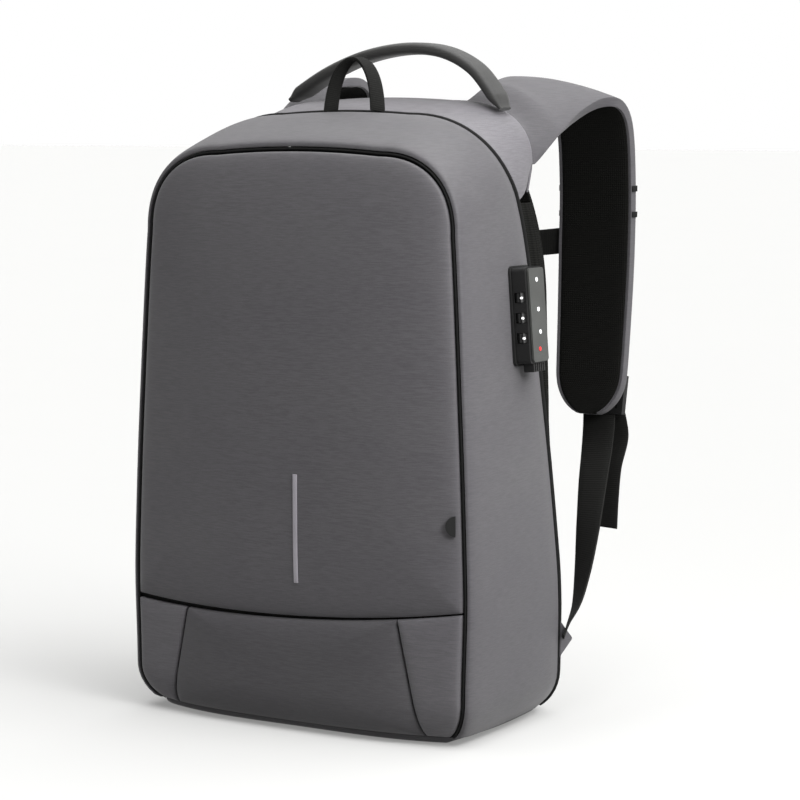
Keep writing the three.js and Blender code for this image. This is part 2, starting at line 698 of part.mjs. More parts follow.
// One outline of the yoke, from its right foot over the top to its left foot
function yokeOutline(row) {
  const shoulderFoot = ZIP_TOP - ZIP_CORNER_HEIGHT + BODY_HEIGHT * row.foot;
  const top = ZIP_TOP - ZIP_TUCK + BODY_HEIGHT * row.top;
  const half = rearHalf(shoulderFoot) - ZIP_TUCK + HALF_WIDTH * row.half;
  return mirrored(halfOutline({
    halfAt: () => half,
    foot: shoulderFoot,
    top,
    shoulderWidth: ZIP_CORNER_WIDTH + HALF_WIDTH * row.shoulder,
    shoulderHeight: top - shoulderFoot,
    crown: 2,
    steps: { side: 0, shoulder: SHELL_STEPS.shoulder, top: SHELL_STEPS.top },
  }));
}

const YOKE_REAR = BACK_Y - 2;
function yokeGrid() {
  const side = SHELL_STEPS.side;
  const seam = rearOutline.slice(side, rearOutline.length - side);
  const front = shifted(rearOutline, -ZIP_TUCK).slice(side, rearOutline.length - side);
  return YOKE_ROWS.map((row) => {
    const outline = row.depth === 0 ? front : yokeOutline(row);
    return outline.map(({ x, z }, i) => {
      const startY = rearEdgeY(seam[i].z) + ZIP_RECESS_WIDTH;
      return point(x, startY + (YOKE_REAR - startY) * row.depth, z);
    });
  });
}

// Outline of the padded back at one height share between its foot and the top of its arch
function backHalf(z) {
  const archFoot = BACK_TOP - BACK_ARCH_HEIGHT;
  if (z <= archFoot) return frameHalf(z);
  const up = Math.min((z - archFoot) / BACK_ARCH_HEIGHT, 1);
  return frameHalf(archFoot) - BACK_ARCH_WIDTH + BACK_ARCH_WIDTH * Math.sqrt(1 - up * up);
}

function addYokeAndBack() {
  const grid = yokeGrid();
  const rim = grid[grid.length - 1];
  const arch = rim.map((p, i) => {
    const share = Math.abs(i - (rim.length - 1) / 2) / ((rim.length - 1) / 2);
    const foot = rim[0].z - 22;
    const z = BACK_TOP + 0.5 - (BACK_TOP - foot) * share ** 2.6;
    const x = Math.min(backHalf(Math.min(z, BACK_TOP - 0.4)), Math.abs(p.x) * 0.97);
    return point(Math.sign(p.x) * x, BACK_Y - 0.6, z);
  });
  const turned = rim.map((p, i) => p.clone().lerp(arch[i], 0.35).setY(BACK_Y - 0.8));
  addPiece('rear_yoke', wallFrom([...grid, turned, arch], SHELL_WALL, 0, true), COLOURS.top, 0.62);

  const rimTop = ZIP_TOP - ZIP_CORNER_HEIGHT - 1.2;
  const heights = run(0, 1, 14, (t) => BASE_SEAM_HEIGHT + 2 + (rimTop - BASE_SEAM_HEIGHT - 2) * t ** 1.3);
  [['right', 1], ['left', -1]].forEach(([name, side]) => {
    const rimGrid = [0, 0.35, 0.75, 1].map((share) => heights.map((z) => {
      const startX = rearHalf(z) - ZIP_TUCK;
      const startY = Math.min(rearEdgeY(z) + ZIP_RECESS_WIDTH, BACK_Y - 2);
      const bow = 2.5 * Math.sin(Math.PI * share);
      return point(
        side * (startX + (backHalf(z) - startX) * share + bow),
        startY + (BACK_Y - 0.3 - startY) * share,
        z,
      );
    }));
    addPiece(`back_rim_${name}`, wallFrom(rimGrid, SHELL_WALL, 0, side > 0), COLOURS.black, 0.8);
  });
}

function addBackPanel() {
  const columns = [-1, -0.96, -0.8, -0.5, -0.22, -0.1, 0, 0.1, 0.22, 0.5, 0.8, 0.96, 1];
  const heights = [0, 0.012, 0.04, 0.1, 0.2, 0.34, 0.5, 0.66, 0.8, 0.9, 0.97, 0.99, 1];
  const foot = BACK_FOOT_HEIGHT;
  const half = (z) => Math.max(backHalf(z), 20) - 1.2;
  const face = (yAt) => heights.map((height) => columns.map((column) => {
    const z = foot + (BACK_TOP - 1.5 - foot) * height;
    return point(column * half(z), yAt(column, height, z), z);
  }));
  const front = face(() => BACK_Y + 0.3);
  const rear = face((column, height, z) => {
    const edge = Math.max(Math.abs(column), Math.abs(2 * height - 1));
    const puff = 0.35 + 0.65 * Math.sqrt(Math.max(1 - edge ** 14, 0));
    const fromChannel = (2 * column * half(z)) / BACK_CHANNEL_WIDTH;
    const channel = BACK_CHANNEL_DEPTH * Math.exp(-2 * fromChannel * fromChannel);
    const fade = Math.sin(Math.PI * height) ** 0.3;
    return BACK_Y + BACK_PAD_THICKNESS * puff - channel * fade;
  });
  addPiece('back_panel', solidBetween(front, rear), COLOURS.mesh, 0.9);
}

// Base: the seam line around the foot of the body, drawn in to the flat face that it stands on
function baseLoop(inset, z) {
  const points = [];
  const half = frontHalf(BASE_SEAM_HEIGHT) - PIECE_GAP;
  const rearY = BACK_Y - 0.6;
  const rearTurn = 9;
  const widen = rearHalf(BASE_SEAM_HEIGHT) - half;
  const frontY = (x) => frontFaceY(x, BASE_SEAM_HEIGHT) - 0.2;
  const sideX = (t) => half + widen * t + SIDE_SWELL * Math.sin(Math.PI * t);
  const sideY = (t) => frontY(half) + (rearY - rearTurn - frontY(half)) * t;
  run(-half, half, 10, (x) => points.push({ x, y: frontY(x) }));
  run(0, 1, 6, (t) => {
    if (t === 0 || t === 1) return;
    points.push({ x: sideX(t), y: sideY(t) });
  });
  run(half - 2, -half + 2, 8, (x) => points.push({ x, y: rearY - 9 * (Math.abs(x) / half) ** 6 }));
  run(1, 0, 6, (t) => {
    if (t === 0 || t === 1) return;
    points.push({ x: -sideX(t), y: sideY(t) });
  });
  return points.map(({ x, y }) => {
    const length = Math.hypot(x, y);
    const scale = (length - inset) / length;
    return point(x * scale, y * scale, z);
  });
}

function addBase() {
  const seam = BASE_SEAM_HEIGHT - PIECE_GAP;
  const rows = [
    baseLoop(0.4, seam),
    baseLoop(5, seam * 0.4),
    baseLoop(13, 0),
    baseLoop(60, 0),
  ];
  const topRows = [
    baseLoop(3.2, seam),
    baseLoop(6.5, seam * 0.4 + SHELL_WALL * 0.8),
    baseLoop(13.5, SHELL_WALL),
    baseLoop(60, SHELL_WALL),
  ];
  const positions = [];
  const triangle = (a, b, c) => [a, b, c].forEach((p) => positions.push(p.x, p.y, p.z));
  const count = rows[0].length;
  const skin = (loops, turned) => {
    const last = loops.length - 1;
    const hub = point(0, 0, loops[last][0].z);
    for (let j = 0; j < count; j += 1) {
      const k = (j + 1) % count;
      for (let i = 0; i < last; i += 1) {
        const [a, b, c, d] = [loops[i][j], loops[i][k], loops[i + 1][k], loops[i + 1][j]];
        if (turned) {
          triangle(a, c, b);
          triangle(a, d, c);
        } else {
          triangle(a, b, c);
          triangle(a, c, d);
        }
      }
      if (turned) triangle(loops[last][j], hub, loops[last][k]);
      else triangle(loops[last][j], loops[last][k], hub);
    }
  };
  skin(rows, false);
  skin(topRows, true);
  for (let j = 0; j < count; j += 1) {
    const k = (j + 1) % count;
    triangle(rows[0][k], rows[0][j], topRows[0][j]);
    triangle(rows[0][k], topRows[0][j], topRows[0][k]);
  }
  addPiece('base_panel', closed(positions), COLOURS.pocket, 0.7);
}

// Flat band along a route: each row gives its middle, the direction of its width and its width
function bandSolid(rows, thickness) {
  const grid = rows.map(({ middle, across, width }) => (
    [-0.5, 0.5].map((side) => middle.clone().addScaledVector(across, side * width))));
  return wallFrom(grid, thickness, thickness / 2);
}

// Handle with a rounded section, arched over the top of the yoke
function addHandle() {
  const seatZ = ZIP_TOP - ZIP_TUCK + BODY_HEIGHT * YOKE_ROWS[3].top + PIECE_GAP;
  const handleY = BACK_Y - HANDLE_SETBACK;
  const section = run(0, 2 * Math.PI, 12, (angle) => ({
    across: Math.sign(Math.cos(angle)) * Math.abs(Math.cos(angle)) ** 0.5,
    up: Math.sign(Math.sin(angle)) * Math.abs(Math.sin(angle)) ** 0.8,
  })).slice(0, -1);
  const route = new THREE.CatmullRomCurve3(HANDLE_ROWS.map(({ along, rise }) => {
    const drop = shoulderDrop(along * HANDLE_SPAN + HANDLE_SHIFT);
    const z = seatZ + HANDLE_THICKNESS * 0.55 + rise * HANDLE_RISE - drop;
    return point(along * HANDLE_SPAN + HANDLE_SHIFT, handleY, z);
  }), false, 'centripetal');
  const rings = run(0, 1, 18, (t) => {
    const middle = route.getPoint(t);
    const along = route.getTangent(t);
    const up = point(0, 1, 0).cross(along).negate().normalize();
    const toEnd = Math.min(Math.min(t, 1 - t) / 0.12, 1);
    const halfWidth = (HANDLE_END_WIDTH + (HANDLE_WIDTH - HANDLE_END_WIDTH) * toEnd) / 2;
    const halfThick = (HANDLE_THICKNESS * (0.5 + 0.5 * toEnd)) / 2;
    return section.map(({ across, up: rise }) => (
      middle.clone().add(point(0, across * halfWidth, 0)).addScaledVector(up, rise * halfThick)));
  });
  addPiece('top_handle', loftClosed(rings), COLOURS.handle, 0.6);
}

// How far the yoke has fallen away below its top at a distance from the middle
function shoulderDrop(x) {
  const outline = yokeOutline(YOKE_ROWS[3]);
  const middle = (outline.length - 1) / 2;
  const right = outline.slice(0, middle + 1);
  const reach = Math.abs(x);
  let high = 0;
  while (high < right.length - 1 && right[high + 1].x > reach) high += 1;
  const [a, b] = [right[high], right[Math.min(high + 1, middle)]];
  const t = a.x === b.x ? 0 : THREE.MathUtils.clamp((a.x - reach) / (a.x - b.x), 0, 1);
  return outline[middle].z - (a.z + (b.z - a.z) * t);
}

// Solid through closed rings of equal length, with flat ends
function loftClosed(rings) {
  const positions = [];
  const triangle = (a, b, c) => [a, b, c].forEach((p) => positions.push(p.x, p.y, p.z));
  const count = rings[0].length;
  for (let i = 0; i < rings.length - 1; i += 1) {
    for (let j = 0; j < count; j += 1) {
      const k = (j + 1) % count;
      triangle(rings[i][j], rings[i][k], rings[i + 1][k]);
      triangle(rings[i][j], rings[i + 1][k], rings[i + 1][j]);
    }
  }
  [[rings[0], true], [rings[rings.length - 1], false]].forEach(([ring, turned]) => {
    for (let j = 1; j < count - 1; j += 1) {
      if (turned) triangle(ring[0], ring[j + 1], ring[j]);
      else triangle(ring[0], ring[j], ring[j + 1]);
    }
  });
  return closed(positions);
}

// Webbing loop that pulls the main zip, standing on the zip line
function addPullLoop() {
  const footZ = ZIP_TOP + 0.4;
  const loopY = rearEdgeY(ZIP_TOP) - 1;
  const rows = run(0, Math.PI, 16, (angle) => {
    const up = Math.sin(angle) ** 0.75;
    const spread = Math.cos(angle) * (1 - 0.16 * up);
    return {
      middle: point(LOOP_X + (LOOP_SPAN / 2) * spread, loopY + 3 * up, footZ + LOOP_RISE * up),
      across: point(0.42 - 0.3 * spread, -0.9, 0.06).normalize(),
      width: LOOP_WIDTH,
    };
  });
  addPiece('zip_pull_loop', bandSolid(rows, LOOP_THICKNESS), COLOURS.webbing, 0.7);
}

// Middle line and width of the right shoulder strap at a share of its run
function strapRow(share) {
  const value = (column) => tableValue(STRAP_ROWS, 'run', column, share);
  const roll = THREE.MathUtils.degToRad(value('rollDeg'));
  return {
    middle: point(
      HALF_WIDTH * value('x'),
      BACK_Y + STRAP_REACH * value('reach'),
      BODY_HEIGHT * value('height'),
    ),
    across: point(Math.cos(roll), 0, -Math.sin(roll)),
    width: STRAP_WIDTH * value('width'),
    dome: STRAP_WIDTH * value('dome'),
  };
}

// The root of the strap is sewn on behind the yoke's rear rim, between two places on its outline
const STRAP_COLUMNS = [0, 0.2, 0.5, 0.8, 1];
const ROOT_OUTER = 0;
const ROOT_INNER = 0.58;
function rootRow(depthShare) {
  const grid = yokeGrid();
  const outline = grid[grid.length - 1];
  const right = outline.slice(0, (outline.length + 1) / 2);
  const curve = new THREE.CatmullRomCurve3(right, false, 'centripetal');
  return STRAP_COLUMNS.map((column) => {
    const t = ROOT_INNER + (ROOT_OUTER - ROOT_INNER) * column;
    const place = curve.getPointAt(t);
    const along = curve.getTangentAt(t);
    const out = point(along.z, 0, -along.x).normalize();
    return place.addScaledVector(out, depthShare).setY(BACK_Y - PIECE_GAP + depthShare * 8);
  });
}

const BODY_STATIONS = run(STRAP_ROWS[0].run, 1, 20, (share) => share);
function strapGrid(stations, inset) {
  return stations.map((share) => {
    const { middle, across, width, dome } = strapRow(share);
    const endShare = Math.max((share - (1 - STRAP_END_ROUND)) / STRAP_END_ROUND, 0);
    const narrowed = (width - 2 * inset) * Math.sqrt(Math.max(1 - 0.88 * endShare ** 2.4, 0));
    const ahead = strapRow(Math.min(share + 0.01, 1)).middle;
    const tangent = ahead.sub(strapRow(Math.max(share - 0.01, 0)).middle);
    const out = across.clone().cross(tangent).normalize();
    return STRAP_COLUMNS.map((column) => {
      const side = column - 0.5;
      return middle.clone()
        .addScaledVector(across, side * narrowed)
        .addScaledVector(out, dome * (1 - 4 * side * side));
    });
  });
}

function mirrorX(geometry) {
  const flipped = geometry.clone();
  flipped.scale(-1, 1, 1);
  const index = flipped.index ? Array.from(flipped.index.array) : null;
  if (index) {
    index.reverse();
    flipped.setIndex(index);
  } else {
    const at = flipped.attributes.position.array;
    for (let i = 0; i < at.length; i += 9) {
      for (let k = 0; k < 3; k += 1) [at[i + k], at[i + 6 + k]] = [at[i + 6 + k], at[i + k]];
    }
  }
  flipped.computeVertexNormals();
  return flipped;
}

function addPair(name, geometry, colour, roughness) {
  addPiece(`${name}_right`, geometry, colour, roughness);
  addPiece(`${name}_left`, mirrorX(geometry), colour, roughness);
}

function routeRows(table, width) {
  const curve = new THREE.CatmullRomCurve3(table.map(({ x, reach, height }) => (
    point(HALF_WIDTH * x, BACK_Y + STRAP_REACH * reach, BODY_HEIGHT * height))), false, 'centripetal');
  const last = table.length - 1;
  return run(0, last, 2 * last, (at) => {
    const low = Math.min(Math.floor(at), last - 1);
    const angle = (column) => {
      const degrees = table[low][column] + (table[low + 1][column] - table[low][column]) * (at - low);
      return THREE.MathUtils.degToRad(degrees);
    };
    const flat = Math.cos(angle('liftDeg'));
    return {
      middle: curve.getPoint(at / last),
      across: point(
        Math.cos(angle('turnDeg')) * flat,
        Math.sin(angle('turnDeg')) * flat,
        Math.sin(angle('liftDeg')),
      ),
      width,
    };
  });
}

function ladderLock() {
  const bar = (height, z) => boxAt(LADDER_WIDTH, LADDER_THICKNESS, height, 0, 0, z);
  const post = (x) => boxAt(LADDER_BAR, LADDER_THICKNESS, LADDER_HEIGHT, x, 0, 0);
  const edge = (LADDER_HEIGHT - LADDER_BAR) / 2;
  const side = (LADDER_WIDTH - LADDER_BAR) / 2;
  let solid = solidOf(bar(LADDER_BAR, edge)).add(solidOf(bar(LADDER_BAR, -edge)));
  solid = solid.add(solidOf(bar(LADDER_BAR, 0)));
  solid = solid.add(solidOf(post(side))).add(solidOf(post(-side)));
  return geometryOf(solid);
}

// The pad follows the skin and stays inside its two edges
function padRow(row) {
  const last = row.length - 1;
  const inward = (edge, next) => edge.clone().lerp(next, STRAP_PAD_INSET / edge.distanceTo(next));
  return row.map((place, i) => {
    if (i === 0) return inward(place, row[1]);
    if (i === last) return inward(place, row[last - 1]);
    return place.clone();
  });
}

function addStraps() {
  const body = strapGrid(BODY_STATIONS, 0);
  const skin = [rootRow(0), rootRow(1), ...body];
  addPair('strap_skin', wallFrom(skin, STRAP_SKIN, 0, false), COLOURS.side, 0.62);
  const normals = gridNormals(skin);
  const padFace = (lift) => {
    const rows = skin.map((row, i) => padRow(row.map((place, j) => (
      place.clone().addScaledVector(normals[i][j], lift))))).slice(3);
    const last = rows.length - 1;
    rows[last] = rows[last].map((place, j) => place.lerp(rows[last - 1][j], 0.3));
    return rows;
  };
  const padLift = -STRAP_SKIN - 4 * PIECE_GAP;
  addPair('strap_pad', solidBetween(padFace(padLift), padFace(padLift - STRAP_PAD)), COLOURS.mesh, 0.95);

  BAND_PLACES.forEach(({ name, share }) => {
    const step = BAND_HEIGHT / BODY_HEIGHT;
    const grid = strapGrid([share, share + step], -0.8);
    const band = wallFrom(grid, BAND_THICKNESS, BAND_THICKNESS + PIECE_GAP, false);
    addPair(`strap_band_${name}`, band, COLOURS.black, 0.7);
  });

  const { middle: lockSeat } = strapRow(0.955);
  const lock = ladderLock();
  lock.rotateX(THREE.MathUtils.degToRad(-12));
  lock.translate(lockSeat.x + 4, lockSeat.y + LADDER_THICKNESS / 2 + 5.6, lockSeat.z);
  addPair('ladder_lock', lock, COLOURS.black, 0.4);

  const web = routeRows(WEBBING_ROWS, WEBBING_WIDTH);
  addPair('lower_webbing', bandSolid(web, WEBBING_THICKNESS), COLOURS.webbing, 0.8);
  const tail = routeRows(TAIL_ROWS, WEBBING_WIDTH);
  addPair('webbing_tail', bandSolid(tail, WEBBING_THICKNESS), COLOURS.webbing, 0.8);

  addTabs();
  addSternumStrap();
}

// Cloth triangle sewn into the rear edge, which holds the lower end of the webbing
function addTabs() {
  const tipShare = 0.42;
  const tipZ = TAB_FOOT_HEIGHT + TAB_LENGTH * tipShare;
  const grid = run(0, 1, 6, (share) => {
    const z = TAB_FOOT_HEIGHT + TAB_LENGTH * share;
    const base = point(rearHalf(z) + 0.6, BACK_Y - 3.5, z);
    const tip = point(HALF_WIDTH * 0.985, BACK_Y + TAB_REACH, tipZ);
    const reach = share < tipShare ? share / tipShare : (1 - share) / (1 - tipShare);
    const edge = base.clone().lerp(tip.setZ(z), Math.max(reach, 0.06));
    return [base, edge];
  });
  addPair('strap_tab', wallFrom(grid, TAB_THICKNESS, TAB_THICKNESS / 2), COLOURS.side, 0.7);
}

// Chest strap between the two shoulder straps, with one plain closed buckle in its middle
function addSternumStrap() {
  const share = 0.70;
  const row = strapRow(share);
  const endX = row.middle.x - row.width / 2 - 0.8;
  const y = row.middle.y - 2;
  const grid = run(BUCKLE_LENGTH / 2 + PIECE_GAP, endX, 8, (x) => {
    const sag = STERNUM_SAG * (1 - (x / endX) ** 2);
    return { middle: point(x, y, STERNUM_HEIGHT - sag), across: point(0, 0, 1), width: STERNUM_WIDTH };
  });
  addPair('sternum_webbing', bandSolid(grid, WEBBING_THICKNESS), COLOURS.webbing, 0.8);
  const shape = new THREE.Shape();
  const [halfLong, halfWide, corner] = [BUCKLE_LENGTH / 2, BUCKLE_WIDTH / 2, 5];
  shape.moveTo(-halfLong + corner, -halfWide);
  shape.lineTo(halfLong - corner, -halfWide);
  shape.quadraticCurveTo(halfLong, -halfWide, halfLong, -halfWide + corner);
  shape.lineTo(halfLong, halfWide - corner);
  shape.quadraticCurveTo(halfLong, halfWide, halfLong - corner, halfWide);
  shape.lineTo(-halfLong + corner, halfWide);
  shape.quadraticCurveTo(-halfLong, halfWide, -halfLong, halfWide - corner);
  shape.lineTo(-halfLong, -halfWide + corner);
  shape.quadraticCurveTo(-halfLong, -halfWide, -halfLong + corner, -halfWide);
  const options = { depth: BUCKLE_THICKNESS, bevelEnabled: false, curveSegments: 4 };
  const buckle = new THREE.ExtrudeGeometry(shape, options);
  buckle.rotateX(Math.PI / 2);
  buckle.translate(0, y + BUCKLE_THICKNESS / 2, STERNUM_HEIGHT - STERNUM_SAG);
  addPiece('sternum_buckle', buckle, COLOURS.black, 0.4);
}

// Lock in its own frame: x out from the bag, -y to the front, z along the wheels' axle
function addLock() {
  const lock = new THREE.Group();
  const surface = gussetFaceX(LOCK_CENTRE_Y - LOCK_WIDTH / 2, LOCK_CENTRE_HEIGHT);
  lock.position.set(surface, LOCK_CENTRE_Y, LOCK_CENTRE_HEIGHT);
  lock.rotation.y = THREE.MathUtils.degToRad(-LOCK_LEAN_DEG);
  pack.add(lock);

  const wedge = 10;
  const base = roundedPlate(LOCK_WIDTH + 4, LOCK_HEIGHT + 3, 4, LOCK_BASE + wedge);
  base.translate(-wedge, 0, 0);
  lock.updateMatrixWorld(true);
  const toLock = lock.matrixWorld.clone().invert();
  const cutter = wallFrom(gussetGrid(), 2 * wedge, PIECE_GAP, true).applyMatrix4(toLock);
  addPiece('lock_base', geometryOf(solidOf(base).subtract(solidOf(cutter))), COLOURS.lockBlack, 0.5, 0, lock);

  const housingInner = LOCK_BASE + PIECE_GAP;
  const housingDepth = LOCK_THICKNESS - LOCK_BASE - LOCK_PLATE - 2 * PIECE_GAP;
  const housing = roundedPlate(LOCK_WIDTH, LOCK_HEIGHT, 3, housingDepth);
  housing.translate(housingInner, 0, 0);
  const axleX = housingInner + housingDepth / 2;
  const axleY = -LOCK_WIDTH / 2 + WHEEL_RADIUS - WHEEL_PROUD;
  const axleZ = LOCK_HEIGHT * WHEEL_SHARE_UP;
  let solid = solidOf(housing);
  const slotWidth = 2 * (WHEEL_RADIUS + WHEEL_CLEARANCE);
  [1, 0, -1].forEach((step) => {
    const z = axleZ + step * WHEEL_PITCH;
    const slotHeight = WHEEL_THICKNESS + 2 * WHEEL_CLEARANCE;
    const mouthY = axleY - WHEEL_RADIUS;
    const slot = pillar(WHEEL_RADIUS + WHEEL_CLEARANCE, slotHeight, 24, axleX, axleY, z);
    const mouth = boxAt(slotWidth * 0.86, WHEEL_RADIUS * 2, slotHeight, axleX, mouthY, z);
    solid = solid.subtract(solidOf(slot)).subtract(solidOf(mouth));
  });
  const bore = pillar(AXLE_RADIUS + PIECE_GAP, 3 * WHEEL_PITCH + 4, 12, axleX, axleY, axleZ);
  solid = solid.subtract(solidOf(bore));
  const tongueWidth = 10;
  const tongueDepth = 3;
  const tongueY = 3;
  const pocketZ = -LOCK_HEIGHT / 2 + SLIDE_TONGUE / 2 - 0.5;
  const pocket = boxAt(tongueDepth + 0.8, tongueWidth + 0.8, SLIDE_TONGUE + 1.4, axleX, tongueY, pocketZ);
  solid = solid.subtract(solidOf(pocket));
  addPiece('lock_housing', geometryOf(solid), COLOURS.lockBlack, 0.45, 0, lock);

  const plate = roundedPlate(LOCK_WIDTH - 3, LOCK_HEIGHT - 1.5, 2.5, LOCK_PLATE);
  plate.translate(housingInner + housingDepth + PIECE_GAP, 1.2, 0);
  addPiece('lock_face_plate', plate, COLOURS.lockGrey, 0.4, 0, lock);

  const axle = pillar(AXLE_RADIUS, 3 * WHEEL_PITCH + 3, 12, axleX, axleY, axleZ);
  addPiece('dial_axle', axle, COLOURS.lockGrey, 0.3, 0.6, lock);
  ['upper', 'middle', 'lower'].forEach((name, i) => {
    const wheel = dialWheel(axleX, axleY, axleZ + (1 - i) * WHEEL_PITCH);
    addPiece(`dial_wheel_${name}`, wheel, COLOURS.lockBlack, 0.5, 0, lock);
  });

  const slideTop = -LOCK_HEIGHT / 2 - PIECE_GAP;
  const grip = boxAt(8, 17, SLIDE_HEIGHT, axleX, tongueY, slideTop - SLIDE_HEIGHT / 2);
  const tongueZ = slideTop + SLIDE_TONGUE / 2 - 1;
  const tongue = boxAt(tongueDepth, tongueWidth, SLIDE_TONGUE, axleX, tongueY, tongueZ);
  let slide = solidOf(grip).add(solidOf(tongue));
  [-6, -3, 0, 3, 6].forEach((y) => {
    const grooveZ = slideTop - SLIDE_HEIGHT / 2 - 0.6;
    const groove = boxAt(1.2, 1.2, SLIDE_HEIGHT + 1, axleX + 4, tongueY + y, grooveZ);
    slide = slide.subtract(solidOf(groove));
  });
  addPiece('release_slide', geometryOf(slide), COLOURS.lockBlack, 0.5, 0, lock);
}

// Half width of the gusset's outer face at a depth and height
function gussetFaceX(y, z) {
  const share = (y - frontSeamY(z)) / (rearEdgeY(z) - frontSeamY(z));
  const from = frontHalf(z) + SEAM_CHANNEL / 2;
  return from + (rearHalf(z) - from) * share + SIDE_SWELL * Math.sin(Math.PI * share) ** 0.6;
}

// Plate with rounded corners in the YZ plane, its thickness along +X from the plane
function roundedPlate(width, height, corner, thickness) {
  const shape = new THREE.Shape();
  const [y, z] = [width / 2, height / 2];
  shape.moveTo(-y + corner, -z);
  shape.lineTo(y - corner, -z);
  shape.absarc(y - corner, -z + corner, corner, -Math.PI / 2, 0, false);
  shape.lineTo(y, z - corner);
  shape.absarc(y - corner, z - corner, corner, 0, Math.PI / 2, false);
  shape.lineTo(-y + corner, z);
  shape.absarc(-y + corner, z - corner, corner, Math.PI / 2, Math.PI, false);
  shape.lineTo(-y, -z + corner);
  shape.absarc(-y + corner, -z + corner, corner, Math.PI, Math.PI * 1.5, false);
  const plate = new THREE.ExtrudeGeometry(shape, { depth: thickness, bevelEnabled: false, curveSegments: 4 });
  plate.rotateY(Math.PI / 2);
  plate.rotateX(Math.PI / 2);
  return plate;
}

// Wheel with shallow ribs round its rim and a bore for the axle
function dialWheel(x, y, z) {
  const shape = new THREE.Shape();
  const steps = WHEEL_RIBS * 2;
  for (let i = 0; i < steps; i += 1) {
    const angle = (2 * Math.PI * i) / steps;
    const radius = i % 2 === 0 ? WHEEL_RADIUS : WHEEL_RADIUS - 0.5;
    if (i === 0) shape.moveTo(radius, 0);
    else shape.lineTo(radius * Math.cos(angle), radius * Math.sin(angle));
  }
  shape.closePath();
  const bore = new THREE.Path();
  bore.absarc(0, 0, AXLE_RADIUS + PIECE_GAP, 0, 2 * Math.PI, true);
  shape.holes.push(bore);
  const options = { depth: WHEEL_THICKNESS, bevelEnabled: false, curveSegments: 6 };
  const wheel = new THREE.ExtrudeGeometry(shape, options);
  return wheel.translate(x, y, z - WHEEL_THICKNESS / 2);
}

addFront();
addGusset();
addYokeAndBack();
addBackPanel();
addBase();
addHandle();
addPullLoop();
addStraps();
addLock();

export default pack;
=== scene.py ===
# %% [markdown]
# A slim anti theft backpack stands on its base. The hard frame of named solids is loaded first and
# never moved. Every cloth, foam and webbing piece is then remade finely in the same place, and the
# plain solid under it is hidden. Lengths below are in millimetres, and one helper turns them into
# metres when a mesh is made.

import math

import bmesh
import bpy
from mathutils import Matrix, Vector, noise


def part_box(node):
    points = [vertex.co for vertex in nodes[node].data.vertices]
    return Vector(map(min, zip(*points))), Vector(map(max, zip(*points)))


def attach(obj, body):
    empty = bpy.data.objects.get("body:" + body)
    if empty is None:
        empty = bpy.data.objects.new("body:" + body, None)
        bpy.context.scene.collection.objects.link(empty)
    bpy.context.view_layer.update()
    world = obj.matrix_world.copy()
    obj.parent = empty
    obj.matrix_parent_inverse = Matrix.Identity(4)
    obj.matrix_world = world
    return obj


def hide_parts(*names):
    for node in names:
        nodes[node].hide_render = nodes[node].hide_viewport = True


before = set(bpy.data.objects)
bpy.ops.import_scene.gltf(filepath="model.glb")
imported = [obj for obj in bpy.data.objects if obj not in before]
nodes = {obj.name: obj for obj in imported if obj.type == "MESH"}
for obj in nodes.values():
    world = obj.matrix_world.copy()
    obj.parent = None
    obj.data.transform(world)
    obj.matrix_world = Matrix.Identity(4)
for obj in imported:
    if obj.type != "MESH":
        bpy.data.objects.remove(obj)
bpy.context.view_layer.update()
MM = 0.001
print("nodes in the frame:", len(nodes))

# %% [markdown]
# The body is drawn in at the top and rounded at the foot. Its side view is a short table by height,
# read through smooth cubic pieces, so that every panel takes its edge from the same few numbers.

# %% Driving sizes of the body
BODY_HEIGHT, BODY_WIDTH, BODY_DEPTH = 454, 292, 140
HALF_WIDTH, FRONT_Y, BACK_Y = BODY_WIDTH / 2, -BODY_DEPTH / 2, BODY_DEPTH / 2
CLOTH = 2.4
SIDE_SWELL = 4.5
BASE_RADIUS, BASE_SEAM = 33, 6
SEAM_CHANNEL, PIPING_RADIUS = 3.9, 1.1
FRONT_TOP, FRONT_CORNER, FRONT_LEAN, FRONT_CROWN = 416, 60, 5, 9
PANEL_PUFF, PANEL_ROLL = 4, 3.5
ZIP_TOP, ZIP_CORNER_WIDTH, ZIP_CORNER_HEIGHT, ZIP_TUCK, ZIP_RECESS = 442, 72, 64, 3, 4
BACK_TOP, BACK_ARCH_WIDTH, BACK_ARCH_HEIGHT = 449, 85, 150
BACK_FOOT_RADIUS, BACK_FOOT = 32, 2

SIDE_COLUMNS = ("height", "front", "rear", "frame", "rear_depth")
SIDE_ROWS = [dict(zip(SIDE_COLUMNS, row)) for row in (
    (0.00, 0.946, 0.966, 0.934, 0.968),
    (0.10, 0.949, 0.973, 0.934, 0.968),
    (0.22, 0.958, 0.976, 0.925, 0.950),
    (0.30, 0.952, 0.966, 0.915, 0.929),
    (0.43, 0.936, 0.938, 0.895, 0.900),
    (0.53, 0.920, 0.918, 0.888, 0.864),
    (0.66, 0.898, 0.890, 0.875, 0.821),
    (0.75, 0.881, 0.870, 0.865, 0.786),
    (0.83, 0.861, 0.856, 0.860, 0.715),
    (0.89, 0.845, 0.848, 0.860, 0.607),
    (0.95, 0.834, 0.842, 0.860, 0.514),
    (1.00, 0.830, 0.840, 0.860, 0.471),
)]


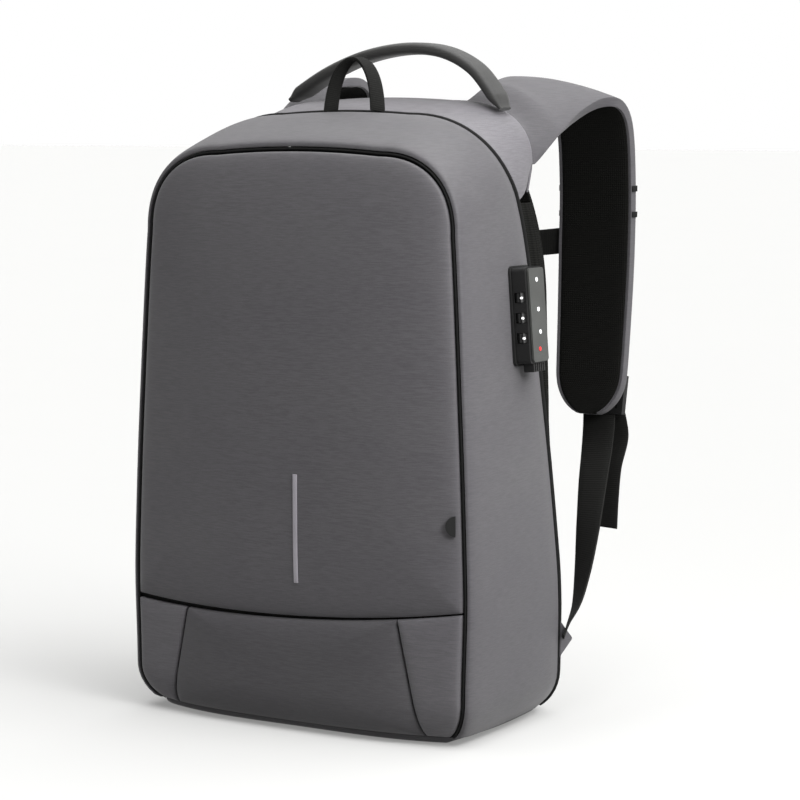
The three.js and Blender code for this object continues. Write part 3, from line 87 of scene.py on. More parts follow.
def table_value(rows, key, column, at):
    """Smooth value of one column of a table, by cubic pieces between its rows."""
    last = len(rows) - 1
    if at <= rows[0][key]:
        return rows[0][column]
    if at >= rows[last][key]:
        return rows[last][column]
    low = max(i for i in range(last) if rows[i][key] <= at)

    def slope(index):
        before, after = rows[max(index - 1, 0)], rows[min(index + 1, last)]
        return (after[column] - before[column]) / (after[key] - before[key])

    span = rows[low + 1][key] - rows[low][key]
    t = (at - rows[low][key]) / span
    s = 1 - t
    ends = s * s * (1 + 2 * t) * rows[low][column] + t * t * (1 + 2 * s) * rows[low + 1][column]
    return ends + s * s * t * span * slope(low) - t * t * s * span * slope(low + 1)


def side_value(column, z):
    return table_value(SIDE_ROWS, "height", column, z / BODY_HEIGHT)


def bottom_inset(z, radius=BASE_RADIUS):
    """How far the rounded foot lies inside the upright wall at a height."""
    return 0 if z >= radius else radius - math.sqrt(max(radius * radius - (radius - z) ** 2, 0))


def front_half(z):
    return HALF_WIDTH * side_value("front", z) - bottom_inset(z)


def rear_half(z):
    return HALF_WIDTH * side_value("rear", z) - bottom_inset(z)


def frame_half(z):
    return HALF_WIDTH * side_value("frame", z) - bottom_inset(max(z - BACK_FOOT, 0), BACK_FOOT_RADIUS)


def front_seam_y(z):
    return FRONT_Y + FRONT_LEAN * (z / FRONT_TOP) ** 2 + 0.8 * bottom_inset(z)


def rear_edge_y(z):
    return FRONT_Y + BODY_DEPTH * side_value("rear_depth", z) - 0.2 * bottom_inset(z)


def front_face_y(x, z):
    """Depth of the front, crowned across its width; the crown fades out smoothly at the top."""
    share = min(abs(x) / front_half(min(z, FRONT_TOP - FRONT_CORNER)), 1)
    to_top = min(max((FRONT_TOP - z) / (1.6 * FRONT_CORNER), 0), 1)
    fade = 1 - (1 - to_top) ** 2
    crown = FRONT_CROWN * (1 - share ** 2.6) * (0.3 + 0.7 * fade)
    return front_seam_y(z) - crown - 0.45 * bottom_inset(z) * (1 - share ** 4)


print("half width at the lock:", round(front_half(298), 1), "mm")

# %% [markdown]
# Helpers for outlines. An outline seen from the front is a side, a rounded shoulder and a crowned
# top, mirrored. The shoulder is a superellipse, which turns more tightly than a circle, as a sewn
# corner does.

# %% Outline helpers
CORNER_POWER = 2 / 2.3
SIDE_STEPS, SHOULDER_STEPS, TOP_STEPS = 46, 20, 14


def half_outline(half_at, foot, top, shoulder_width, shoulder_height, crown, side_steps=SIDE_STEPS):
    shoulder_foot = top - shoulder_height
    points = []
    for i in range(side_steps):
        z = foot + (shoulder_foot - foot) * (i / side_steps) ** 1.4
        points.append((half_at(z), z))
    half = half_at(shoulder_foot)
    for i in range(SHOULDER_STEPS + 1):
        angle = math.pi / 2 * i / SHOULDER_STEPS
        across = max(math.cos(angle), 0) ** CORNER_POWER
        up = math.sin(angle) ** CORNER_POWER
        points.append((half - shoulder_width * (1 - across), shoulder_foot + (shoulder_height - crown) * up))
    flat = half - shoulder_width
    for i in range(1, TOP_STEPS + 1):
        x = flat * (1 - i / TOP_STEPS)
        points.append((x, top - crown * (x / flat) ** 2))
    return points


def mirrored(half):
    return half + [(-x, z) for x, z in reversed(half[:-1])]


def shifted(outline, amount):
    """Each point moved along the outline's own normal, outwards when the amount is positive."""
    moved = []
    for i, (x, z) in enumerate(outline):
        bx, bz = outline[max(i - 1, 0)]
        ax, az = outline[min(i + 1, len(outline) - 1)]
        length = math.hypot(ax - bx, az - bz)
        moved.append((x + amount * (az - bz) / length, z - amount * (ax - bx) / length))
    return moved


def spread(start, end, count, place=lambda value: value):
    return [place(start + (end - start) * i / count) for i in range(count + 1)]


front_outline = mirrored(half_outline(front_half, BASE_SEAM, FRONT_TOP, FRONT_CORNER, FRONT_CORNER, 3))
rear_outline = mirrored(half_outline(rear_half, BASE_SEAM, ZIP_TOP, ZIP_CORNER_WIDTH, ZIP_CORNER_HEIGHT, 2))
print("points round the front seam:", len(front_outline))

# %% [markdown]
# Helpers for meshes. Cloth is a grid of points given a thickness along its normals, closed round
# its rim, and softened there by a narrow bevel, as a folded hem is. Foam and cords are rings of
# points joined in a row. Each grid keeps its own lengths as a UV map, so that a weave can follow it.

# %% Mesh helpers
HEM_STEPS, HEM_ANGLE = 2, 50


def deselect():
    bpy.ops.object.select_all(action="DESELECT")


def activate(piece):
    deselect()
    piece.select_set(True)
    bpy.context.view_layer.objects.active = piece


def apply_modifiers(piece):
    activate(piece)
    for modifier in list(piece.modifiers):
        bpy.ops.object.modifier_apply(modifier=modifier.name)


def grid_normals(grid):
    rows, columns = len(grid), len(grid[0])
    normals = []
    for i, row in enumerate(grid):
        line = []
        for j in range(columns):
            down = grid[min(i + 1, rows - 1)][j] - grid[max(i - 1, 0)][j]
            side = row[min(j + 1, columns - 1)] - row[max(j - 1, 0)]
            line.append(side.cross(down).normalized())
        normals.append(line)
    return normals


def lifted(grid, amount):
    normals = grid_normals(grid)
    return [[p + normals[i][j] * amount for j, p in enumerate(row)] for i, row in enumerate(grid)]


def mesh_piece(name, points, faces, uvs=None):
    """A new object at the origin from points in millimetres, faces turned outwards."""
    mesh = bpy.data.meshes.new(name)
    mesh.from_pydata([p * MM for p in points], [], faces)
    if uvs:
        layer = mesh.uv_layers.new(name="weave")
        for loop in mesh.loops:
            layer.data[loop.index].uv = uvs[loop.vertex_index]
    shape = bmesh.new()
    shape.from_mesh(mesh)
    bmesh.ops.remove_doubles(shape, verts=shape.verts, dist=0.02 * MM)
    bmesh.ops.recalc_face_normals(shape, faces=shape.faces)
    if shape.calc_volume(signed=True) < 0:
        bmesh.ops.reverse_faces(shape, faces=shape.faces)
    shape.to_mesh(mesh)
    shape.free()
    mesh.validate()
    piece = bpy.data.objects.new(name, mesh)
    bpy.context.scene.collection.objects.link(piece)
    return piece


def grid_uvs(grid):
    """Lengths along both ways of a grid, in metres, for each of its points."""
    uvs = []
    middle = len(grid[0]) // 2
    along = 0
    for i, row in enumerate(grid):
        if i:
            along += (row[middle] - grid[i - 1][middle]).length
        across = 0
        for j, p in enumerate(row):
            if j:
                across += (p - row[j - 1]).length
            uvs.append((across * MM, along * MM))
    return uvs


def between(name, outer, inner, uvs):
    """A closed piece between two grids of the same size."""
    rows, columns = len(outer), len(outer[0])
    size = rows * columns
    points = [p for row in outer + inner for p in row]
    faces = []
    for i in range(rows - 1):
        for j in range(columns - 1):
            a = i * columns + j
            faces.append((a, a + 1, a + columns + 1, a + columns))
            faces.append((size + a + 1, size + a, size + a + columns, size + a + columns + 1))
    edge = [j for j in range(columns)]
    edge += [i * columns + columns - 1 for i in range(1, rows)]
    edge += [(rows - 1) * columns + j for j in range(columns - 2, -1, -1)]
    edge += [i * columns for i in range(rows - 2, 0, -1)]
    for k, a in enumerate(edge):
        b = edge[(k + 1) % len(edge)]
        faces.append((b, a, size + a, size + b))
    return mesh_piece(name, points, faces, uvs + uvs)


def wall_piece(name, grid, thickness, lift=0, hem=0.6):
    """Cloth with a thickness below the grid, closed round its rim, with a soft hem."""
    piece = between(name, lifted(grid, lift), lifted(grid, lift - thickness), grid_uvs(grid))
    if hem:
        soften(piece, hem)
    return piece


def soften(piece, width):
    bevel = piece.modifiers.new("hem", "BEVEL")
    bevel.width = width * MM
    bevel.segments = HEM_STEPS
    bevel.limit_method = "ANGLE"
    bevel.angle_limit = math.radians(HEM_ANGLE)
    apply_modifiers(piece)


def ring_piece(name, rings):
    """Rings of points joined in a row, with flat ends."""
    count = len(rings[0])
    points = [p for ring in rings for p in ring]
    faces = []
    for i in range(len(rings) - 1):
        a, b = i * count, (i + 1) * count
        for j in range(count):
            k = (j + 1) % count
            faces.append((a + j, a + k, b + k, b + j))
    faces.append(tuple(range(count - 1, -1, -1)))
    faces.append(tuple(range((len(rings) - 1) * count, len(rings) * count)))
    return mesh_piece(name, points, faces, grid_uvs(rings))


def mirror_copy(piece, name):
    """The left hand copy of a right hand piece, with its own mesh and faces outwards."""
    mesh = piece.data.copy()
    for vertex in mesh.vertices:
        vertex.co.x = -vertex.co.x
    mesh.flip_normals()
    copy = bpy.data.objects.new(name, mesh)
    bpy.context.scene.collection.objects.link(copy)
    return copy


def finish_piece(piece, material, replaces=(), body="root", angle=40):
    """Gives a piece its finish, smooth shading, its body and the plain solids it stands for."""
    piece.data.materials.clear()
    piece.data.materials.append(material)
    activate(piece)
    bpy.ops.object.shade_smooth_by_angle(angle=math.radians(angle))
    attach(piece, body)
    if replaces:
        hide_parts(*replaces)
    print(piece.name, "faces:", len(piece.data.polygons))
    return piece


def finish_pair(piece, name, material, angle=40):
    """A right hand piece and its mirrored copy."""
    left = mirror_copy(piece, f"{name}_cloth_left")
    piece.name = f"{name}_cloth_right"
    finish_piece(piece, material, (f"{name}_right",), angle=angle)
    finish_piece(left, material, (f"{name}_left",), angle=angle)
    return piece, left


# %% [markdown]
# The shell is a coated melange cloth: two close greys spun together, so that fine level streaks
# show, with a low sheen from the coating. The streaks are a noise squeezed in height and drawn out
# across, read in object space so that they stay level over all the panels.

# %% Finishes: helpers and the coated cloth
def new_material(name, roughness=0.7, metallic=0.0, specular=0.5):
    material = bpy.data.materials.new(name)
    material.use_nodes = True
    shader = material.node_tree.nodes["Principled BSDF"]
    shader.inputs["Roughness"].default_value = roughness
    shader.inputs["Metallic"].default_value = metallic
    shader.inputs["Specular IOR Level"].default_value = specular
    return material, material.node_tree, shader


def mapped_noise(tree, scale, detail=3.0):
    """Noise read from object space, stretched by a mapping."""
    place = tree.nodes.new("ShaderNodeTexCoord")
    mapping = tree.nodes.new("ShaderNodeMapping")
    mapping.inputs["Scale"].default_value = scale
    grain = tree.nodes.new("ShaderNodeTexNoise")
    grain.inputs["Scale"].default_value = 1.0
    grain.inputs["Detail"].default_value = detail
    grain.inputs["Roughness"].default_value = 0.6
    tree.links.new(place.outputs["Object"], mapping.inputs["Vector"])
    tree.links.new(mapping.outputs["Vector"], grain.inputs["Vector"])
    return grain.outputs["Fac"]


def ramp(tree, value, stops):
    """Colours between shares of a value."""
    node = tree.nodes.new("ShaderNodeValToRGB")
    while len(node.color_ramp.elements) < len(stops):
        node.color_ramp.elements.new(0.5)
    for element, (position, colour) in zip(node.color_ramp.elements, stops):
        element.position = position
        element.color = (*colour, 1)
    tree.links.new(value, node.inputs["Fac"])
    return node.outputs["Color"]


def multiplied(tree, first, second):
    """One colour times another."""
    node = tree.nodes.new("ShaderNodeMix")
    node.data_type = "RGBA"
    node.blend_type = "MULTIPLY"
    node.inputs[0].default_value = 1.0
    tree.links.new(first, node.inputs[6])
    tree.links.new(second, node.inputs[7])
    return node.outputs[2]


def math_node(tree, operation, first, second):
    node = tree.nodes.new("ShaderNodeMath")
    node.operation = operation
    for socket, value in zip(node.inputs, (first, second)):
        if isinstance(value, (int, float)):
            socket.default_value = value
        else:
            tree.links.new(value, socket)
    return node.outputs[0]


def bump(tree, shader, height, strength, distance):
    node = tree.nodes.new("ShaderNodeBump")
    node.inputs["Strength"].default_value = strength
    node.inputs["Distance"].default_value = distance
    tree.links.new(height, node.inputs["Height"])
    tree.links.new(node.outputs["Normal"], shader.inputs["Normal"])


def scaled(colour, amount):
    return tuple(channel * amount for channel in colour)


def coated_cloth(name, colour, contrast=0.11):
    material, tree, shader = new_material(name, roughness=0.62, specular=0.25)
    streak = mapped_noise(tree, (110, 110, 1500), detail=2.0)
    thread = mapped_noise(tree, (1300, 1300, 2100), detail=1.0)
    cloud = mapped_noise(tree, (9, 9, 14), detail=3.0)
    fine = ramp(tree, streak, ((0.36, scaled(colour, 1 - contrast)), (0.64, scaled(colour, 1 + contrast))))
    spots = ramp(tree, thread, ((0.30, (0.93, 0.93, 0.93)), (0.70, (1.06, 1.06, 1.06))))
    clouds = ramp(tree, cloud, ((0.30, (0.94, 0.93, 0.95)), (0.70, (1.05, 1.05, 1.04))))
    both = multiplied(tree, fine, spots)
    tree.links.new(multiplied(tree, both, clouds), shader.inputs["Base Color"])
    shader.inputs["Sheen Weight"].default_value = 0.12
    shader.inputs["Sheen Roughness"].default_value = 0.45
    bump(tree, shader, math_node(tree, "ADD", streak, thread), 0.14, 0.0002)
    return material


# The cloth is one grey. Each panel gets a lit or shaded copy of it, painted lighter or darker by how the
# light falls. The top and yoke get painted light. The front, sides, straps, corners, pocket and base get
# painted shade, least on the corners and most on the pocket and base.
GREY = (0.078, 0.075, 0.081)
front_cloth = coated_cloth("front_cloth", scaled(GREY, 0.68))
side_cloth = coated_cloth("side_cloth", scaled(GREY, 0.64))
top_cloth = coated_cloth("top_cloth", scaled(GREY, 1.12))
corner_cloth = coated_cloth("corner_cloth", scaled(GREY, 0.84))
pocket_cloth = coated_cloth("pocket_cloth", scaled(GREY, 0.52))

# %% [markdown]
# Everything else is black: ribbed webbing, an open spacer mesh with a fine diagonal cell, narrow
# woven tape, moulded plastic and rubber. Webbing ribs follow the strap through its UV map.

# %% Finishes: webbing, mesh, tape, plastic and rubber
def wave(tree, value, length):
    """Even waves of a length along a value in metres."""
    return math_node(tree, "SINE", math_node(tree, "MULTIPLY", value, 2 * math.pi / length), 0)


def ribbed_webbing(name, colour, rib=0.0016):
    material, tree, shader = new_material(name, roughness=0.8, specular=0.12)
    place = tree.nodes.new("ShaderNodeTexCoord")
    split = tree.nodes.new("ShaderNodeSeparateXYZ")
    tree.links.new(place.outputs["UV"], split.inputs[0])
    across = wave(tree, split.outputs["X"], rib)
    along = wave(tree, split.outputs["Y"], 0.6 * rib)
    strong, weak = math_node(tree, "MULTIPLY", across, 0.6), math_node(tree, "MULTIPLY", along, 0.4)
    weave = math_node(tree, "ADD", strong, weak)
    level = math_node(tree, "ADD", math_node(tree, "MULTIPLY", weave, 0.5), 0.5)
    fibres = mapped_noise(tree, (900, 900, 900), detail=2.0)
    base = ramp(tree, level, ((0.1, scaled(colour, 0.6)), (0.9, scaled(colour, 1.35))))
    dust = ramp(tree, fibres, ((0.3, (0.8, 0.8, 0.8)), (0.7, (1.2, 1.2, 1.2))))
    tree.links.new(multiplied(tree, base, dust), shader.inputs["Base Color"])
    bump(tree, shader, level, 0.5, 0.0003)
    return material


def spacer_mesh(name, colour, cell=0.0034):
    """Open knit: rows of small dark cells set in diagonal lines."""
    material, tree, shader = new_material(name, roughness=0.9, specular=0.08)
    place = tree.nodes.new("ShaderNodeTexCoord")
    split = tree.nodes.new("ShaderNodeSeparateXYZ")
    tree.links.new(place.outputs["UV"], split.inputs[0])
    rising = math_node(tree, "ADD", split.outputs["X"], split.outputs["Y"])
    falling = math_node(tree, "SUBTRACT", split.outputs["X"], split.outputs["Y"])
    crossed = math_node(tree, "MULTIPLY", wave(tree, rising, cell), wave(tree, falling, cell))
    cells = math_node(tree, "ADD", math_node(tree, "MULTIPLY", crossed, 0.5), 0.5)
    fibres = mapped_noise(tree, (1100, 1100, 1100), detail=2.0)
    base = ramp(tree, cells, ((0.25, scaled(colour, 0.35)), (0.65, scaled(colour, 1.3))))
    dust = ramp(tree, fibres, ((0.3, (0.75, 0.75, 0.75)), (0.7, (1.25, 1.25, 1.25))))
    tree.links.new(multiplied(tree, base, dust), shader.inputs["Base Color"])
    bump(tree, shader, cells, 0.7, 0.0006)
    return material


GRAIN_DEPTH = 0.00008


def plain_finish(name, colour, roughness, grain=700, metallic=0.0, specular=0.5):
    """Moulded or turned stuff: one colour, slightly uneven, with a fine grain."""
    material, tree, shader = new_material(name, roughness, metallic, specular)
    fine = mapped_noise(tree, (grain, grain, grain), detail=3.0)
    broad = mapped_noise(tree, (40, 40, 40), detail=2.0)
    base = ramp(tree, broad, ((0.3, scaled(colour, 0.9)), (0.7, scaled(colour, 1.1))))
    speck = ramp(tree, fine, ((0.3, (0.93, 0.93, 0.93)), (0.7, (1.07, 1.07, 1.07))))
    tree.links.new(multiplied(tree, base, speck), shader.inputs["Base Color"])
    bump(tree, shader, fine, 0.3, GRAIN_DEPTH)
    return material


black_webbing = ribbed_webbing("black_webbing", (0.006, 0.006, 0.0055))
black_tape = ribbed_webbing("black_tape", (0.006, 0.006, 0.006), rib=0.0008)
air_mesh = spacer_mesh("air_mesh", (0.0035, 0.0035, 0.003))
handle_cloth = coated_cloth("handle_cloth", (0.022, 0.022, 0.021))
port_rubber = plain_finish("port_rubber", (0.006, 0.006, 0.006), 0.6, specular=0.2)
buckle_plastic = plain_finish("buckle_plastic", (0.006, 0.006, 0.006), 0.45, specular=0.2)
lock_black = plain_finish("lock_black", (0.009, 0.009, 0.009), 0.42, specular=0.3)
lock_grey = plain_finish("lock_grey", (0.042, 0.043, 0.041), 0.4, specular=0.3)
axle_steel = plain_finish("axle_steel", (0.55, 0.55, 0.55), 0.3, metallic=1.0)
reflective_tape = plain_finish("reflective_tape", (0.20, 0.19, 0.21), 0.32, grain=1600)
dot_white = plain_finish("dot_white", (0.75, 0.75, 0.75), 0.4)
dot_red = plain_finish("dot_red", (0.55, 0.02, 0.02), 0.4)
print("finishes:", len(bpy.data.materials))

# %% [markdown]
# The front is four panels: a large upper one that overhangs the pocket line, a lower pocket panel
# and two corners set off by slanted seams. Each is puffed a little and rolled in at its edge, so
# rings are drawn from its outline to its middle, close together near the rim where the roll is.

# %% Panel helper
RINGS = (1, 0.9985, 0.995, 0.99, 0.98, 0.965, 0.945, 0.92, 0.885, 0.84, 0.78,
         0.7, 0.6, 0.5, 0.4, 0.3, 0.2, 0.1)
PORT_X, PORT_Z, PORT_RADIUS = 131, 158, 7


def dent(x, z):
    """Slow unevenness of stretched cloth, and the hollow round the cable port."""
    slow = 0.7 * noise.noise(Vector((x * 0.011, 3.1, z * 0.009)))
    from_port = math.hypot(x - PORT_X, z - PORT_Z)
    return slow - 1.2 * math.exp(-(from_port / (1.5 * PORT_RADIUS)) ** 4)


def puffed_panel(name, outline, puff, roll):
    middle_x = sum(x for x, z in outline) / len(outline)
    middle_z = sum(z for x, z in outline) / len(outline)
    rings = []
    for depth in (0, CLOTH):
        rings.append([])
        for ring in RINGS:
            swell = puff * (1 - ring ** 4) + roll * math.sqrt(max(1 - ring ** 20, 0))
            line = []
            for corner_x, corner_z in outline:
                x = middle_x + (corner_x - middle_x) * ring
                z = middle_z + (corner_z - middle_z) * ring
                line.append(Vector((x, front_face_y(x, z) - swell - dent(x, z) * (1 - ring ** 8) + depth, z)))
            rings[-1].append(line)
    count = len(outline)
    points = [p for side in rings for line in side for p in line]
    faces = []
    for side, turned in ((0, False), (1, True)):
        start = side * len(RINGS) * count
        for i in range(len(RINGS) - 1):
            for j in range(count):
                k = (j + 1) % count
                quad = [start + i * count + j, start + i * count + k]
                quad += [start + (i + 1) * count + k, start + (i + 1) * count + j]
                faces.append(tuple(reversed(quad) if turned else quad))
        hub = sum(rings[side][-1], Vector()) / count
        points.append(hub)
        last = start + (len(RINGS) - 1) * count
        for j in range(count):
            tip = [last + j, last + (j + 1) % count, len(points) - 1]
            faces.append(tuple(reversed(tip) if turned else tip))
    inner = len(RINGS) * count
    for j in range(count):
        k = (j + 1) % count
        faces.append((k, j, inner + j, inner + k))
    uvs = [(p.x * MM, p.z * MM) for p in points]
    piece = mesh_piece(name, points, faces, uvs)
    soften(piece, 0.5)
    return piece


# %% Outlines of the four front panels
POCKET_LINE, POCKET_TILT, POCKET_SMILE, POCKET_GAP = 84, 5.5, 8, 2.4
CORNER_GAP, CORNER_TOP_X, CORNER_FOOT_X = 1.2, 90, 108


def pocket_line(x):
    share = x / front_half(POCKET_LINE)
    return POCKET_LINE + POCKET_TILT * share + POCKET_SMILE * share ** 2


def pocket_gap(x):
    return POCKET_GAP * (1 - 0.5 * (x / HALF_WIDTH))


def corner_seam_x(z):
    return CORNER_FOOT_X + (CORNER_TOP_X - CORNER_FOOT_X) * z / POCKET_LINE


def panel_half(z):
    return front_half(z) - SEAM_CHANNEL / 2


def upper_outline():
    edge = shifted(front_outline, -SEAM_CHANNEL / 2)
    foot_right = pocket_line(panel_half(POCKET_LINE))
    foot_left = pocket_line(-panel_half(POCKET_LINE))
    middle = (len(edge) - 1) / 2
    upper = [p for i, p in enumerate(edge) if p[1] > (foot_right if i < middle else foot_left) + 1.5]
    foot = spread(-panel_half(foot_left), panel_half(foot_right), 70, lambda x: (x, pocket_line(x)))
    return upper + foot


def middle_outline():
    def top_z(x):
        return pocket_line(x) - pocket_gap(x)

    gap = CORNER_GAP / 2
    top = spread(CORNER_TOP_X - gap, -CORNER_TOP_X + gap, 44, lambda x: (x, top_z(x)))
    left = spread(top_z(-CORNER_TOP_X), BASE_SEAM, 24, lambda z: (gap - corner_seam_x(z), z))
    right = spread(BASE_SEAM, top_z(CORNER_TOP_X), 24, lambda z: (corner_seam_x(z) - gap, z))
    foot_x = corner_seam_x(BASE_SEAM) - gap
    foot = spread(-foot_x, foot_x, 44, lambda x: (x, BASE_SEAM))
    return top + left[1:-1] + foot + right[1:-1]


def corner_outline(side):
    def top_z(x):
        return pocket_line(side * x) - pocket_gap(side * x)

    def inner_x(z):
        return corner_seam_x(z) + CORNER_GAP / 2

    outer_top_x = panel_half(top_z(panel_half(POCKET_LINE)))
    outer_top_z, inner_top_z = top_z(outer_top_x), top_z(CORNER_TOP_X)
    corners = spread(inner_x(inner_top_z), outer_top_x, 14, lambda x: (x, top_z(x)))
    corners += spread(outer_top_z, BASE_SEAM, 30, lambda z: (panel_half(z), z))[1:]
    corners += spread(panel_half(BASE_SEAM), inner_x(BASE_SEAM), 8, lambda x: (x, BASE_SEAM))[1:]
    corners += spread(BASE_SEAM, inner_top_z, 24, lambda z: (inner_x(z), z))[1:-1]
    return [(side * x, z) for x, z in corners]


# %% Front panels
front = puffed_panel("front_panel_cloth", upper_outline(), PANEL_PUFF, PANEL_ROLL)
finish_piece(front, front_cloth, ("front_panel",))
pocket = puffed_panel("lower_pocket_cloth", middle_outline(), PANEL_PUFF, PANEL_ROLL * 0.7)
finish_piece(pocket, pocket_cloth, ("lower_pocket_panel",))
for label, hand in (("right", 1), ("left", -1)):
    corner = puffed_panel(f"corner_cloth_{label}", corner_outline(hand), PANEL_PUFF * 0.3, PANEL_ROLL * 0.6)
    finish_piece(corner, corner_cloth, (f"corner_panel_{label}",))

# %% [markdown]
# Behind every open seam lies something dark: the flange of the piping, and a tuck of cloth behind
# the pocket line and the slanted seams. Without them one would look through into the empty bag.

# %% Piping, pocket tuck and reflective strip
def tube_rings(path, radius, sides=10):
    rings = []
    for i, p in enumerate(path):
        along = (path[min(i + 1, len(path) - 1)] - path[max(i - 1, 0)]).normalized()
        first = along.cross(Vector((0, 1, 0))).normalized()
        second = first.cross(along)
        ring = []
        for k in range(sides):
            angle = 2 * math.pi * k / sides
            ring.append(p + (first * math.cos(angle) + second * math.sin(angle)) * radius)
        rings.append(ring)
    return rings


def join(pieces, name):
    deselect()
    for piece in pieces:
        piece.select_set(True)
    bpy.context.view_layer.objects.active = pieces[0]
    bpy.ops.object.join()
    pieces[0].name = name
    return pieces[0]


route = [Vector((x, front_seam_y(z) + 0.9, z)) for x, z in front_outline]
cord = ring_piece("piping_cord", tube_rings(route, PIPING_RADIUS))
flange = []
for out in (-4, 0, 1.4):
    edge = shifted(front_outline, out)
    flange.append([Vector((x, front_seam_y(zs) + 3.4, z)) for (x, z), (_, zs) in zip(edge, front_outline)])
piping = join([cord, wall_piece("piping_flange", flange, 0.8, hem=0)], "front_piping_cord")
finish_piece(piping, black_tape, ("front_piping",))

tuck_half = panel_half(POCKET_LINE) - 2
tuck = [[Vector((x, front_face_y(x, pocket_line(x)) + 3.2, pocket_line(x) + rise))
         for x in spread(-tuck_half, tuck_half, 60)] for rise in (14, 0, -14)]
finish_piece(wall_piece("pocket_tuck", tuck, 0.8, hem=0), black_tape)
for label, hand in (("right", 1), ("left", -1)):
    back = [[Vector((hand * (corner_seam_x(z) + out), front_face_y(corner_seam_x(z), z) + 2.6, z))
             for z in spread(BASE_SEAM + 3, POCKET_LINE - 2, 24)] for out in (-6, 0, 6)]
    finish_piece(wall_piece(f"corner_seam_tuck_{label}", back, 0.8, hem=0), black_tape)

STRIP_X, STRIP_WIDTH, STRIP_THICKNESS = 10, 3.4, 0.6
strip_low, strip_high = (corner.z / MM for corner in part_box("reflective_strip"))


def panel_face_y(x, z):
    """Depth of the upper panel's outer face, found by a ray on the finished panel."""
    place = front.ray_cast(Vector((x, -200, z)) * MM, Vector((0, 1, 0)))[1]
    return place.y / MM


strip = [[Vector((x, panel_face_y(x, z) - STRIP_THICKNESS, z)) for z in spread(strip_low, strip_high, 40)]
         for x in (STRIP_X + STRIP_WIDTH / 2, STRIP_X - STRIP_WIDTH / 2)]
finish_piece(wall_piece("reflective_strip_tape", strip, STRIP_THICKNESS * 1.5, hem=0.15), reflective_tape,
             ("reflective_strip",))

# %% [markdown]
# The sides and the top are one long strip of cloth. It leaves the front seam with a tight roll,
# swells a little, and is turned in again at the lip that hides the main zip.

# %% Side and top wall, and the concealed zip under its rear lip
GUSSET_ROWS = [dict(share=share, out=out) for share, out in (
    (0.000, 0.00), (0.006, 0.42), (0.035, 0.72), (0.120, 0.90), (0.340, 1.00), (0.650, 0.95),
    (0.880, 0.55), (1.000, 0.00))]
GUSSET_SHARES = [0, 0.003, 0.006, 0.012, 0.02, 0.035, 0.055] + spread(0.085, 0.975, 26) + [0.988, 1.0]


def gusset_grid():
    start = shifted(front_outline, SEAM_CHANNEL / 2)
    grid = []
    for share in GUSSET_SHARES:
        out = table_value(GUSSET_ROWS, "share", "out", share)
        flat = [(fx + (rx - fx) * share, fz + (rz - fz) * share)
                for (fx, fz), (rx, rz) in zip(start, rear_outline)]
        line = []
        for i, (x, z) in enumerate(shifted(flat, SIDE_SWELL * out)):
            from_y = front_seam_y(front_outline[i][1])
            y = from_y + (rear_edge_y(rear_outline[i][1]) - from_y) * share
            line.append(Vector((x, y, max(z, BASE_SEAM))))
        grid.append(line)
    return grid


def flipped(grid):
    return [list(reversed(row)) for row in grid]


gusset = wall_piece("side_gusset_cloth", flipped(gusset_grid()), CLOTH)
finish_piece(gusset, side_cloth, ("side_gusset",))

tape_outline = shifted(rear_outline, -ZIP_TUCK - 0.2)
ZIP_REAR = BACK_Y - 6
tape = [[Vector((x, min(rear_edge_y(zs), ZIP_REAR) + along, z))
         for (x, z), (_, zs) in zip(tape_outline, rear_outline)] for along in (-5, -2, 0, 2, 3.5)]
zip_tape = wall_piece("zip_tape", flipped(tape), 1.1, hem=0)
coil_path = [Vector((x, min(rear_edge_y(zs), ZIP_REAR) + 2.2, z))
             for (x, z), (_, zs) in zip(shifted(rear_outline, -0.5), rear_outline)]
zip_line = join([zip_tape, ring_piece("zip_coil", tube_rings(coil_path, 2, 12))], "main_zip_line")
finish_piece(zip_line, black_tape, ("main_zip_tape",))

# %% [markdown]
# Behind the zip the yoke closes the bag over the shoulders. It keeps rising towards the back, where
# the straps are sewn on, and turns down to the padded back.

# %% Yoke over the shoulders
YOKE_ROWS = [dict(depth=depth, foot=foot, half=half, top=top, shoulder=shoulder)
             for depth, foot, half, top, shoulder in (
                 (0.00, 0.000, 0.000, 0.000, 0.00),
                 (0.22, 0.004, 0.000, 0.012, 0.01),
                 (0.50, 0.018, -0.004, 0.024, 0.00),
                 (0.80, 0.046, -0.018, 0.030, -0.03),
                 (1.00, 0.060, -0.026, 0.030, -0.05))]
YOKE_REAR = BACK_Y - 2


def back_half(z):
    arch_foot = BACK_TOP - BACK_ARCH_HEIGHT
    if z <= arch_foot:
        return frame_half(z)
    up = min((z - arch_foot) / BACK_ARCH_HEIGHT, 1)
    return frame_half(arch_foot) - BACK_ARCH_WIDTH * (1 - math.sqrt(max(1 - up * up, 0)))


def yoke_outline(depth):
    foot, wider, rise, rounder = (table_value(YOKE_ROWS, "depth", key, depth)
                                  for key in ("foot", "half", "top", "shoulder"))
    shoulder_foot = ZIP_TOP - ZIP_CORNER_HEIGHT + BODY_HEIGHT * foot
    top = ZIP_TOP - ZIP_TUCK + BODY_HEIGHT * rise
    half = rear_half(shoulder_foot) - ZIP_TUCK + HALF_WIDTH * wider
    return mirrored(half_outline(lambda z: half, shoulder_foot, top, ZIP_CORNER_WIDTH + HALF_WIDTH * rounder,
                                 top - shoulder_foot, 2, side_steps=0))


def yoke_grid(depths):
    seam = rear_outline[SIDE_STEPS:len(rear_outline) - SIDE_STEPS]
    lip = shifted(rear_outline, -ZIP_TUCK)[SIDE_STEPS:len(rear_outline) - SIDE_STEPS]
    grid = []
    for depth in depths:
        blend = min(depth / 0.15, 1)
        line = []
        for (x, z), (lip_x, lip_z), (_, zs) in zip(yoke_outline(depth), lip, seam):
            start_y = rear_edge_y(zs) + ZIP_RECESS
            x, z = lip_x + (x - lip_x) * blend, lip_z + (z - lip_z) * blend
            line.append(Vector((x, start_y + (YOKE_REAR - start_y) * depth, z)))
        grid.append(line)
    return grid


